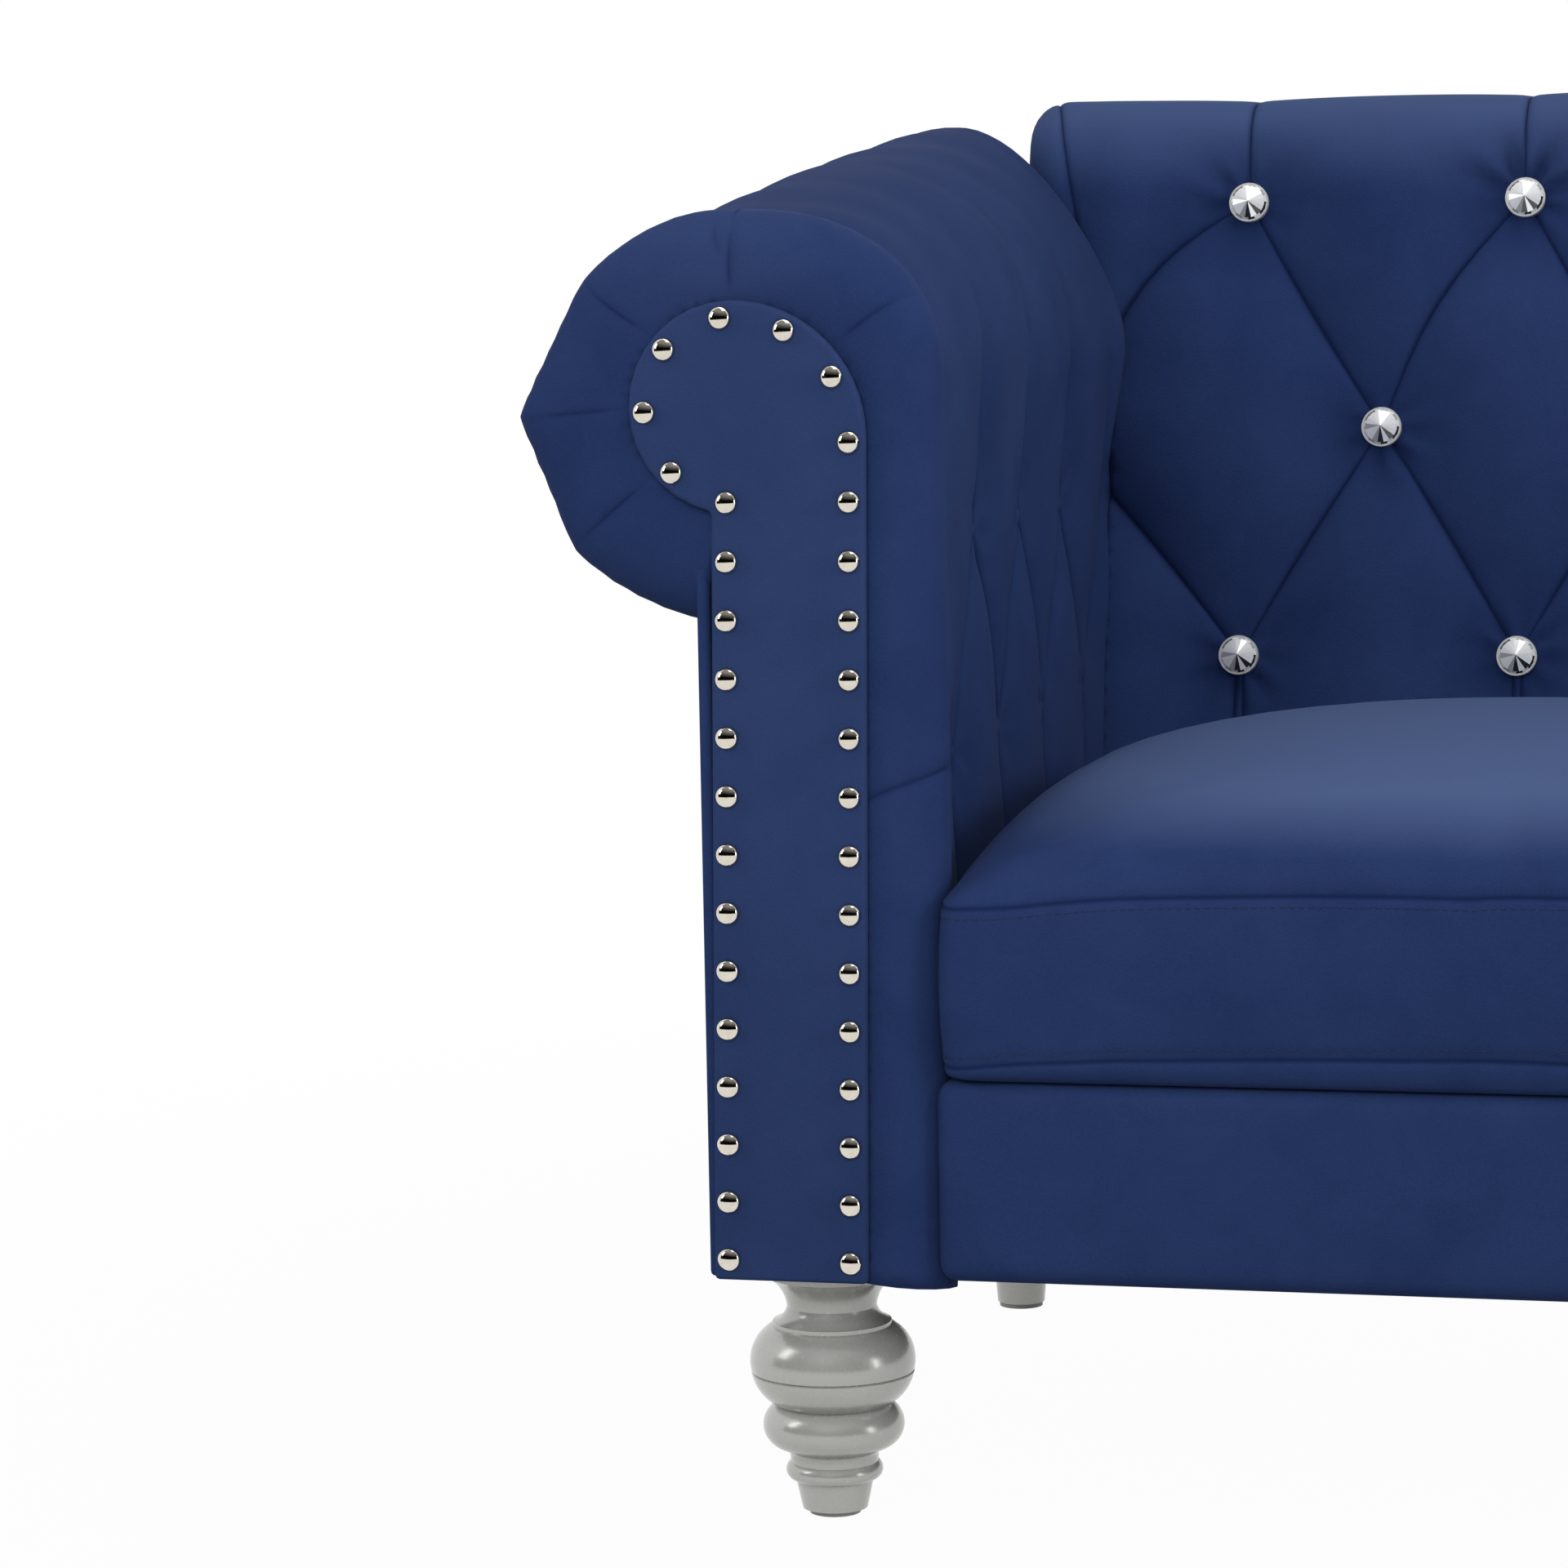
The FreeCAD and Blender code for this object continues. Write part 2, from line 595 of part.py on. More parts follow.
for name, side in SIDES:
    inner_ring = front_points()
    outer_ring = roll_points(0)
    caps = []
    for degrees in (0, 30, 60, 90):
        part = math.sin(math.radians(degrees))
        y = pad_front + size("front_round") * (1 - math.cos(math.radians(degrees)))
        corners = [mix(a, b, part) for a, b in zip(inner_ring[0], outer_ring[0])]
        middles = [None] + [mix(a, b, part) for a, b in zip(inner_ring[1][1:], outer_ring[1][1:])]
        edges = skin(corners, middles)
        edges.append((corners[7], (roll_c, split_z)))
        edges.append(((roll_c, split_z), corners[0]))
        caps.append(place(edges, side, y))
    cap = loft(caps, True)
    tube = []
    for part, y in ((0, post_front), (1, pad_end)):
        corners, middles = roll_points(part)
        z = roll_z + rise * part
        first = -math.degrees(math.acos((roll_c - roll_u) / core_r))
        arcs = core_arcs(z, core_r, first)
        edges = skin(corners, middles)
        edges.append((corners[7], arcs[0][0]))
        edges += arcs
        edges.append((arcs[2][2], (pad_out, split_z)))
        edges.append(((pad_out, split_z), corners[0]))
        tube.append(place(edges, side, y))
    solid_feature("arm_roll_pad_" + name, cap.fuse(loft(tube, True)).removeSplitter())

    shells = []
    for part, y in ((0, post_front), (1, pad_end)):
        z = roll_z + rise * part
        first = -math.degrees(math.acos((roll_c - roll_u) / core_r))
        wide = core_arcs(z, size("core_radius"), first)
        slim = core_arcs(z, post_r, first)
        edges = list(wide) + [(wide[2][2], slim[2][2])]
        edges += [tuple(reversed(e)) for e in reversed(slim)]
        edges.append((slim[0][0], wide[0][0]))
        shells.append(place(edges, side, y))
    solid_feature("arm_roll_liner_" + name, loft(shells, True))

    for which, y0 in (("front", post_front), ("rear", pad_end - size("post_board"))):
        boards = []
        for y in (y0, y0 + size("post_board")):
            z = roll_level(y)
            low = z - math.sqrt(post_r ** 2 - (board_out - roll_u) ** 2)
            first = math.degrees(math.atan2(low - z, board_out - roll_u))
            edges = [((roll_u - post_r, block_top), (board_out, block_top)),
                     ((board_out, block_top), (board_out, low))]
            edges += core_arcs(z, post_r, first)
            edges.append(((roll_u - post_r, z), (roll_u - post_r, block_top)))
            boards.append(place(edges, side, y))
        solid_feature("arm_%s_post_%s" % (which, name), loft(boards, True))

    rails = []
    for y in (post_front + size("post_board"), pad_end - size("post_board")):
        z = roll_level(y)
        u0 = roll_u - size("arm_rail_width") / 2
        u1 = roll_u + size("arm_rail_width") / 2
        z1 = z + size("arm_rail_board")
        rails.append(place(polygon([(u0, z), (u1, z), (u1, z1), (u0, z1)]), side, y))
    solid_feature("arm_top_rail_" + name, loft(rails, True))

    LINER = "(%s + dims.roll_liner)" % BLOCK_IN
    sheet = polygon([(post_front, deck_z), (pad_end, deck_z), (pad_end, roll_level(pad_end)),
                     (post_front, roll_level(post_front))])
    slab_x("arm_inside_board_" + name, sheet, "-" + LINER if side < 0 else BLOCK_IN,
           "dims.roll_liner")
    drop = size("core_radius") + 1
    sheet = polygon([(pad_front, foot_z), (pad_end, foot_z), (pad_end, roll_level(pad_end) - drop),
                     (pad_front, roll_level(pad_front) - drop)])
    slab_x("arm_outside_panel_" + name, sheet, "-" + OUTER if side < 0 else BOARD_OUT,
           "dims.panel_board")

    # Plain covered board on the arm's rear end.
    z = roll_level(pad_end)
    r = roll_r * 0.9
    in_u = roll_u - post_r
    low_in = z - math.sqrt(r ** 2 - post_r ** 2)
    low_out = z - math.sqrt(r ** 2 - (outer - roll_u) ** 2)
    t0 = math.degrees(math.atan2(low_in - z, in_u - roll_u)) + 360
    t1 = math.degrees(math.atan2(low_out - z, outer - roll_u))
    tm = (t0 + t1) / 2
    edges = [((outer, foot_z), (in_u, foot_z)), ((in_u, foot_z), (in_u, low_in)),
             ((in_u, low_in), around(roll_u, z, r, (t0 + tm) / 2), around(roll_u, z, r, tm)),
             (around(roll_u, z, r, tm), around(roll_u, z, r, (tm + t1) / 2), (outer, low_out)),
             ((outer, low_out), (outer, foot_z))]
    edges = [tuple((side * p[0], p[1]) for p in e) for e in edges]
    slab_y("arm_rear_panel_" + name, edges, PAD_END, "dims.facing_board")

# Tufted inside of each arm, with a plain roll down its front edge.
pitch_a = size("arm_pitch")
tuft_a = size("arm_tuft")
row_a = size("arm_first_row")
row_c = row_a + size("arm_row")
start_a = size("front_roll")
stop_a = pad_end - front
roof_a = split_z - deck_z
round_a = min(size("facing_inset"), size("front_round")) - 0.6
low_spots = []
high_spots = []
k = 0
while start_a + pitch_a * (k + 0.5) < stop_a - size("button_diameter"):
    low_spots.append(start_a + pitch_a * (k + 0.5))
    k = k + 1
k = 1
while start_a + pitch_a * k < stop_a - size("button_diameter"):
    high_spots.append(start_a + pitch_a * k)
    k = k + 1
plan = [((-board_out, pad_front), (-half - round_a, pad_front)),
        ((-half - round_a, pad_front),
         (-half - round_a * (1 - diag), pad_front + round_a * (1 - diag)),
         (-half, pad_front + round_a)),
        ((-half, pad_front + round_a), (-half, post_front)),
        ((-half, post_front), (-board_out, post_front)),
        ((-board_out, post_front), (-board_out, pad_front))]
plan = wire([tuple((p[0], p[1], foot_z) for p in e) for e in plan])
strip = Part.Face(plan).extrude(Vector(0, 0, split_z - foot_z))
edge = Part.makeBox(pad_out - half, front + start_a - post_front, roof_a,
                    Vector(-pad_out, post_front, deck_z))
slab = Part.makeBox(pad_out - half - tuft_a, stop_a - start_a, roof_a,
                    Vector(-pad_out, front + start_a, deck_z))
origin = Vector(-half - tuft_a, front, deck_z)
frame = (origin, Vector(0, 1, 0), Vector(0, 0, 1), Vector(1, 0, 0))
tufts = []
for centre in [start_a] + high_spots:
    tufts.append(pleated(*frame, centre, row_a, row_c, 0.5, start_a, stop_a, tuft_a, pitch_a, 1.0))
for centre in low_spots + [low_spots[-1] + pitch_a]:
    tufts.append(pleated(*frame, centre, row_c, row_a, roof_a - 0.5, start_a, stop_a,
                         tuft_a, pitch_a, 1.0))
inside = strip.fuse([edge, slab] + tufts)
buttons = []
dishes = []
dish = size("button_diameter") / 2 + 2
for a, b in [(a, row_a) for a in low_spots] + [(a, row_c) for a in high_spots]:
    seat = origin + frame[1] * a + frame[2] * b
    dishes.append(Part.makeCone(dish, dish + tuft_a, tuft_a * 1.5, seat, frame[3]))
    buttons.append(dome(seat, frame[3], size("button_diameter") / 2, size("button_rise")))
inside = inside.cut(dishes).removeSplitter()
buttons = Part.makeCompound(buttons)
middle = (Vector(0, 0, 0), Vector(1, 0, 0))
solid_feature("arm_inside_pad_left", inside)
solid_feature("arm_inside_pad_right", inside.mirror(*middle))
solid_feature("arm_buttons_left", buttons)
solid_feature("arm_buttons_right", buttons.mirror(*middle))

# Padded border over the front rail.
b0 = front + size("border_set")
b1 = b0 + size("border_depth")
br = size("border_round")
bz = deck_z - 0.5
border = [((b1, foot_z), (b0 + br, foot_z)),
          ((b0 + br, foot_z), (b0 + br * (1 - diag), foot_z + br * (1 - diag)), (b0, foot_z + br)),
          ((b0, foot_z + br), (b0, bz - br)),
          ((b0, bz - br), (b0 + br * (1 - diag), bz - br * (1 - diag)), (b0 + br, bz)),
          ((b0 + br, bz), (b1, bz)), ((b1, bz), (b1, foot_z))]
slab_x("front_border", border, "-(%s - %s)" % (HALF, SIDE_GAP),
       "2 * (%s - %s)" % (HALF, SIDE_GAP))

# Elastic webbing woven over the rails, the deck cloth pad on it, and the cloth underneath.
rail_f = b1
straps = []
w = size("webbing_width")
t = size("webbing")
count = int((half - w / 2) / size("webbing_spacing") + 0.5)
for k in range(-count, count):
    x = size("webbing_spacing") * (k + 0.5)
    straps.append(Part.makeBox(w, rail_y - rail_f, t, Vector(x - w / 2, rail_f, rail_z)))
for k in (1, 2, 3):
    y = rail_f + (rail_y - rail_f) * k / 4
    straps.append(Part.makeBox(2 * board_out, w, t, Vector(-board_out, y - w / 2, rail_z + t)))
solid_feature("seat_webbing", Part.makeCompound(straps))
keep(box("seat_deck", "-(%s - 1)" % HALF, "%s - 1" % HALF, RAIL_FRONT, BACK_RAIL + " - 2",
         RAIL_TOP + " + 2 * dims.webbing", DECK), "seat_deck")

# Loose seat cushions: boxed sides a little swollen, a full crown and drawn-in corners.
SHAPE = ((0.0, 0.34, 9.0), (0.03, 0.50, 4.0), (0.12, 0.76, 0.6), (0.3, 0.95, 0.0), (0.5, 1.0, 0.0),
         (0.7, 0.95, 0.0), (0.88, 0.76, 0.6), (0.97, 0.50, 4.0), (1.0, 0.34, 9.0))
swell = 6.0
cut_front = front + 2
cut_rear = fold_y(deck_z) - size("back_tuft") * slope - 1
for name, side in SIDES:
    u0 = size("cushion_gap") / 2
    u1 = half - 1
    slices = []
    for t, full, draw in SHAPE:
        x = side * (u0 + (u1 - u0) * t)
        y0 = cut_front + swell + draw
        y1 = cut_rear - swell - draw
        z0 = deck_z + clear
        z1 = seat_z - 8 * (1 - full)
        c = size("cushion_crown") * full
        zm = (z0 + z1) / 2
        slices.append([((x, y0, z0), (x, y1, z0)),
                       ((x, y1, z0), (x, y1 + swell, zm), (x, y1, z1)),
                       ((x, y1, z1), (x, y1 - 20, z1 + 0.37 * c), (x, y1 - 62, z1 + 0.7 * c)),
                       ((x, y1 - 62, z1 + 0.7 * c), (x, (y0 + y1) / 2, z1 + c),
                        (x, y0 + 62, z1 + 0.7 * c)),
                       ((x, y0 + 62, z1 + 0.7 * c), (x, y0 + 20, z1 + 0.37 * c), (x, y0, z1)),
                       ((x, y0, z1), (x, y0 - swell, zm), (x, y0, z0))])
    solid_feature("seat_cushion_" + name, loft(slices, False))

# Turned front legs and plain tapered rear legs, bored for their bolts.
span = (foot_z - size("glide")) / 137.0


def turned(z):
    return size("glide") + (z - 3) * span


bolt_r = size("bolt_diameter") / 2 + clear / 2
bore_z = foot_z - size("bolt_depth")
neck = size("leg_neck")
bulb = size("leg_bulb")
waist = size("leg_waist")
bead = size("leg_bead")
ring = size("leg_ring")
foot = size("leg_foot")
collar = size("leg_collar")
front_profile = [
    ((0, turned(3)), (foot, turned(3))),
    ((foot, turned(3)), (foot + 3.4, turned(19))),
    ((foot + 3.4, turned(19)), (ring, turned(24.3)), (ring - 2.6, turned(29))),
    ((ring - 2.6, turned(29)), (ring - 2.4, turned(32))),
    ((ring - 2.4, turned(32)), (ring - 1.4, turned(35)), (ring + 1.2, turned(37))),
    ((ring + 1.2, turned(37)), (bead, turned(50.4)), (waist, turned(61.4))),
    ((waist, turned(61.4)), (bulb - 4.2, turned(70)), (bulb - 0.6, turned(79))),
    ((bulb - 0.6, turned(79)), (bulb - 1.8, turned(79.7))),
    ((bulb - 1.8, turned(79.7)), (bulb - 0.5, turned(80.4))),
    ((bulb - 0.5, turned(80.4)), (bulb - 1.9, turned(95)), (bulb - 11, turned(105))),
    ((bulb - 11, turned(105)), (neck + 8, turned(105.4))),
    ((neck + 8, turned(105.4)), (neck + 8, turned(107.6))),
    ((neck + 8, turned(107.6)), (neck + 2.4, turned(111)), (neck, turned(116))),
    ((neck, turned(116)), (neck + 3, turned(125)), (collar - 2, turned(133))),
    ((collar - 2, turned(133)), (collar, foot_z)),
    ((collar, foot_z), (bolt_r, foot_z)),
    ((bolt_r, foot_z), (bolt_r, bore_z)),
    ((bolt_r, bore_z), (0, bore_z)),
    ((0, bore_z), (0, turned(3))),
]
rear_profile = polygon([(0, turned(3)), (size("rear_leg_foot"), turned(3)),
                        (size("rear_leg_top"), foot_z), (bolt_r, foot_z), (bolt_r, bore_z),
                        (0, bore_z)])
FRONT_LEG = (HALF + " + dims.front_leg_out", "dims.front_plane + dims.front_leg_set")
REAR_LEG = (HALF + " + dims.rear_leg_out", ARM_END + " - dims.rear_leg_set")
spots = []
for which, profile, spot in (("front", front_profile, FRONT_LEG), ("rear", rear_profile, REAR_LEG)):
    for name, side in SIDES:
        label = "%s_leg_%s" % (which, name)
        body = doc.addObject("PartDesign::Body", label)
        sketch = sketch_on(body, "XZ_Plane", label + "_profile")
        outline(sketch, profile)
        turn = body.newObject("PartDesign::Revolution", label + "_turned")
        turn.Profile = sketch
        turn.ReferenceAxis = (sketch, ["V_Axis"])
        turn.Angle = 360
        bind(body, Placement__Base__x="%s(%s)" % ("-" if side < 0 else "", spot[0]))
        bind(body, Placement__Base__y=spot[1])
        keep(body, label)
u_f = half + size("front_leg_out")
y_f = front + size("front_leg_set")
u_r = half + size("rear_leg_out")
y_r = arm_end - size("rear_leg_set")
spots = [(-u_f, y_f), (u_f, y_f), (-u_r, y_r), (u_r, y_r)]
pw = size("plate_width")
bolts = []
plates = []
glides = []
for x, y in spots:
    bolts.append(Part.makeCylinder(size("bolt_diameter") / 2, cloth_z - foot_z + 2 * size("bolt_depth"),
                                   Vector(x, y, bore_z)))
    plate = Part.makeBox(pw, pw, size("plate"), Vector(x - pw / 2, y - pw / 2, foot_z))
    plates.append(plate.cut(Part.makeCylinder(bolt_r, 20, Vector(x, y, foot_z - 10))))
    glides.append(Part.makeCylinder(size("glide_diameter") / 2, size("glide"), Vector(x, y, 0)))
solid_feature("leg_bolts", Part.makeCompound(bolts))
solid_feature("leg_plates", Part.makeCompound(plates))
solid_feature("leg_glides", Part.makeCompound(glides))

# Leg blocks with their bolt bores, and the bottom cloth cut out round the plates.
for which, spot in (("front", FRONT_LEG), ("rear", REAR_LEG)):
    y0 = POST_FRONT if which == "front" else PAD_END + " - dims.block_length"
    y1 = POST_FRONT + " + dims.block_length" if which == "front" else PAD_END
    for name, side in SIDES:
        x0 = "-" + BOARD_OUT if side < 0 else BLOCK_IN
        x1 = "-" + BLOCK_IN if side < 0 else BOARD_OUT
        label = "leg_block_%s_%s" % (which, name)
        timber = box(label + "_timber", x0, x1, y0, y1, CLOTH, CLOTH + " + dims.block_height")
        bore = doc.addObject("Part::Cylinder", label + "_bore")
        bind(bore, Radius="(dims.bolt_diameter + dims.fit_clearance) / 2")
        bind(bore, Height="dims.bolt_depth", Placement__Base__z=CLOTH)
        bind(bore, Placement__Base__x="%s(%s)" % ("-" if side < 0 else "", spot[0]))
        bind(bore, Placement__Base__y=spot[1])
        cut = doc.addObject("Part::Cut", label)
        cut.Base = timber
        cut.Tool = bore
        keep(cut, label)
cloth = Part.makeBox(2 * board_out, pad_end - rail_f, size("dust_cloth"),
                     Vector(-board_out, rail_f, foot_z))
hole = pw + 2 * clear
for x, y in spots:
    cloth = cloth.cut(Part.makeBox(hole, hole, 40, Vector(x - hole / 2, y - hole / 2, foot_z - 20)))
solid_feature("dust_cover", cloth)

doc.recompute()
for item in doc.Objects:
    for state in ("Invalid", "Error"):
        if state in item.State:
            raise RuntimeError("%s is %s" % (item.Label, state))
for item in nodes:
    if item.Shape.isNull() or not item.Shape.isValid():
        raise RuntimeError("%s has no valid shape" % item.Label)
os.makedirs("parts", exist_ok=True)
for item in nodes:
    item.Shape.exportStep("parts/%s.step" % item.Label)
print(len(nodes), "pieces")
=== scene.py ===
import math

import bmesh
import bpy
import numpy as np
from mathutils import Matrix, Vector
from mathutils.geometry import delaunay_2d_cdt


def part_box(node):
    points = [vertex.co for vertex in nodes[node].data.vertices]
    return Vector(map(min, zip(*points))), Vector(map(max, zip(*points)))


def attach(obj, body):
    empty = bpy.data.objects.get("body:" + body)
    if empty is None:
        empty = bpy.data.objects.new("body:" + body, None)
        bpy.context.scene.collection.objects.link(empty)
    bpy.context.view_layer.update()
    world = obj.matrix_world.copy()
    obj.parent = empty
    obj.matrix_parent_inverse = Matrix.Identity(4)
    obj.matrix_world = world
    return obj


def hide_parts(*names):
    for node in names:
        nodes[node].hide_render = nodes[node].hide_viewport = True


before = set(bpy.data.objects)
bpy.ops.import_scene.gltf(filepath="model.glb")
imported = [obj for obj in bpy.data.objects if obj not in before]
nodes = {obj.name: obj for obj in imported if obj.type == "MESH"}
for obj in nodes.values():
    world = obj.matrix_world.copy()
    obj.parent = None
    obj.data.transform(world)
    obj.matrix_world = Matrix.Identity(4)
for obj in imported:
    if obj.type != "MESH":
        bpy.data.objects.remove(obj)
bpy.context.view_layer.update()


# Timber frame: sawn rails, posts and corner blocks of kiln-dried pine, glued and stapled.
# It is closed in by the upholstery; only the undersides of the blocks are near the light.
def linear(code):
    parts = [int(code[i:i + 2], 16) / 255 for i in (1, 3, 5)]
    return [c / 12.92 if c <= 0.04045 else ((c + 0.055) / 1.055) ** 2.4 for c in parts] + [1.0]


def add(tree, kind, inputs=None, **settings):
    made = tree.nodes.new(kind)
    for name, value in settings.items():
        setattr(made, name, value)
    for name, value in (inputs or {}).items():
        if isinstance(value, bpy.types.NodeSocket):
            tree.links.new(value, made.inputs[name])
        else:
            made.inputs[name].default_value = value
    return made


def finish_of(name, tones=(), texture="Noise", size=1.0, inputs=None, way=None, **sockets):
    # A finish; two tones, where it has them, follow a texture at its real size in metres.
    made = bpy.data.materials.new(name)
    made.use_nodes = True
    tree = made.node_tree
    shader = tree.nodes["Principled BSDF"]
    for socket, value in sockets.items():
        shader.inputs[socket.replace("_", " ")].default_value = value
    if not tones:
        return made, tree, shader
    place = add(tree, "ShaderNodeTexCoord")
    grain = add(tree, "ShaderNodeTex" + texture,
                {"Vector": place.outputs["Object"], "Scale": 1 / size, **(inputs or {})},
                **({"bands_direction": way} if way else {}))
    share = grain.outputs["Distance" if texture == "Voronoi" else "Fac"]
    blend = add(tree, "ShaderNodeMix", {"Factor": share, "A": linear(tones[0]), "B": linear(tones[1])},
                data_type="RGBA")
    tree.links.new(blend.outputs["Result"], shader.inputs["Base Color"])
    return made, tree, shader, grain


def dress(names, material):
    for name in names:
        nodes[name].data.materials.clear()
        nodes[name].data.materials.append(material)


# Sawn pine: pale, with darker late-wood lines about 5 mm apart along the board.
pine, tree, shader = finish_of("sawn_pine", ("#d9bd8d", "#b98f5a"), "Wave", 0.030,
                               {"Distortion": 6.0, "Detail": 3.0}, "Z", Roughness=0.7)[:3]
place = add(tree, "ShaderNodeTexCoord")
grain = add(tree, "ShaderNodeTexNoise",
            {"Vector": place.outputs["Object"], "Scale": 1 / 0.012, "Detail": 4.0})
rough = add(tree, "ShaderNodeBump", {"Height": grain.outputs["Fac"], "Strength": 0.3, "Distance": 0.0004})
tree.links.new(rough.outputs["Normal"], shader.inputs["Normal"])
TIMBER = ("seat_front", "seat_back", "seat_side", "seat_center", "leg_block", "arm_front_post",
          "arm_rear_post", "arm_top_rail", "back_post", "back_top_rail")
dress([n for n in nodes if n.startswith(TIMBER)], pine)

# Hardboard liners: thin board of pressed fibre, smooth and brown, bent round the roll and
# stapled to the posts.
hardboard = finish_of("pressed_hardboard", ("#6b4c30", "#8a6844"), "Noise", 0.003, {"Detail": 5.0},
                      Roughness=0.6)[0]
dress([n for n in nodes if n.startswith(("arm_inside_board", "arm_roll_liner"))], hardboard)

# Leg hardware: zinc-plated hanger bolts and plates, screwed up into the corner blocks. They are
# dull grey with a faint spangle.
zinc = finish_of("zinc_plate", ("#b9bcc0", "#9a9da2"), "Voronoi", 0.006, Metallic=1.0, Roughness=0.42)[0]
dress(["leg_bolts", "leg_plates"], zinc)

# Elastic webbing: woven brown straps with ribs about 3 mm apart, stretched and stapled over the
# rails to carry the deck.
webbing = finish_of("rubber_webbing", ("#5d5040", "#7d6d57"), "Wave", 0.018, None, "DIAGONAL",
                    Roughness=0.85)[0]
dress(["seat_webbing"], webbing)


# Bottom cloth: thin black non-woven sheet, stapled under the rails and sagging a little,
# cut away round the leg plates.
def put(name, data, body=None):
    # Adds an object at the origin; a piece rides on its body.
    made = bpy.data.objects.new(name, data)
    bpy.context.scene.collection.objects.link(made)
    if body:
        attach(made, body)
    return made


def smooth_mesh(name, points, faces, material, marks=None):
    mesh = bpy.data.meshes.new(name)
    mesh.from_pydata([tuple(p) for p in points], [], [tuple(f) for f in faces])
    for mark, values in (marks or {}).items():
        mesh.attributes.new(mark, "FLOAT", "POINT").data.foreach_set("value", values.astype("f"))
    mesh.materials.append(material)
    mesh.shade_smooth()
    return mesh


def thicken(piece, depth):
    # Closes an open cut of cloth: an inner face and a rim all round.
    mesh = piece.data
    count = len(mesh.vertices)
    co, normal = np.empty(count * 3), np.empty(count * 3)
    mesh.vertices.foreach_get("co", co)
    mesh.vertex_normals.foreach_get("vector", normal)
    inner = (co - normal * depth).reshape(-1, 3)
    faces = [tuple(p.vertices) for p in mesh.polygons]
    runs = dict.fromkeys((a, b) for f in faces for a, b in zip(f, f[1:] + f[:1]))
    rim = [(b, a, a + count, b + count) for a, b in runs if (b, a) not in runs]
    lining = [tuple(v + count for v in reversed(f)) for f in faces]
    marks = {}
    for mark in ("painted_shade", "nap_and_painted_sheen"):
        if mark in mesh.attributes:
            held = np.empty(count, "f")
            mesh.attributes[mark].data.foreach_get("value", held)
            marks[mark] = np.tile(held, 2)
    piece.data = smooth_mesh(mesh.name, np.vstack([co.reshape(-1, 3), inner]), faces + lining + rim,
                             mesh.materials[0], marks)


# Spunbond polypropylene: black felted sheet with bond points about 2 mm apart.
nonwoven = finish_of("spunbond_polypropylene", ("#141416", "#26262a"), "Voronoi", 0.002, Roughness=0.9)[0]
COLS, ROWS, SAG, LEG_HOLE, SHEET = 90, 36, 0.004, 0.036, 0.0008
low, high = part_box("dust_cover")
leg_spots = [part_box(n) for n in ("front_leg_left", "front_leg_right", "rear_leg_left", "rear_leg_right")]
leg_spots = [((a.x + b.x) / 2, (a.y + b.y) / 2) for a, b in leg_spots]
gx, gy = np.meshgrid(np.linspace(low.x, high.x, COLS + 1), np.linspace(low.y, high.y, ROWS + 1))
slack = np.sin(np.pi * np.linspace(0, 1, COLS + 1))[None, :] * np.sin(
    np.pi * np.linspace(0, 1, ROWS + 1))[:, None]
points = np.stack([gx.ravel(), gy.ravel(), low.z + 0.001 - SAG * slack.ravel() ** 0.5], 1)
faces = []
for r in range(ROWS):
    for c in range(COLS):
        first = r * (COLS + 1) + c
        quad = [first, first + COLS + 1, first + COLS + 2, first + 1]
        middle = points[quad].mean(0)
        if min(math.hypot(middle[0] - x, middle[1] - y) for x, y in leg_spots) > LEG_HOLE:
            faces.append(quad)
cloth = put("bottom_cloth", smooth_mesh("bottom_cloth", points, faces, nonwoven), "frame")
thicken(cloth, SHEET)
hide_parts("dust_cover")

# Velvet cover cloth: short polyester pile, cut and brushed. It is deep navy face on, paler along grazing
# edges and clouded where the nap lies another way. Two marks paint light into its colour: a paler painted
# sheen on tops that face the light, and painted shade inside folds, seams and dimples.
velvet, tree, shader = finish_of("navy_cut_velvet", Roughness=0.82, Specular_IOR_Level=0.02,
                                 Sheen_Weight=0.03, Sheen_Roughness=0.45, Sheen_Tint=linear("#c9d0e2"))
# Its clouds, the streaks of its nap and its fibres, which are drawn coarse enough to show.
CLOUD, NAP, FIBRE = 0.16, 0.045, 0.0011
place = add(tree, "ShaderNodeTexCoord")
cloud, nap_and_painted_sheen, fibre = [
    add(tree, "ShaderNodeTexNoise", {"Vector": place.outputs["Object"], "Scale": 1 / size, **more})
    for size, more in ((CLOUD, {"Detail": 3.0, "Roughness": 0.55}),
                       (NAP, {"Detail": 4.0, "Roughness": 0.6, "Distortion": 0.6}),
                       (FIBRE, {"Detail": 2.0}))]
mottle = add(tree, "ShaderNodeMath", {0: cloud.outputs["Fac"], 1: nap_and_painted_sheen.outputs["Fac"]}, operation="ADD")
mottle = add(tree, "ShaderNodeMath", {0: mottle.outputs[0], 1: fibre.outputs["Fac"]}, operation="ADD")
shade = add(tree, "ShaderNodeMapRange", {"Value": mottle.outputs[0], "From Min": 1.1, "From Max": 1.9})
pile = add(tree, "ShaderNodeMix", {"Factor": shade.outputs[0], "A": linear("#203058"),
                                   "B": linear("#293963")}, data_type="RGBA")
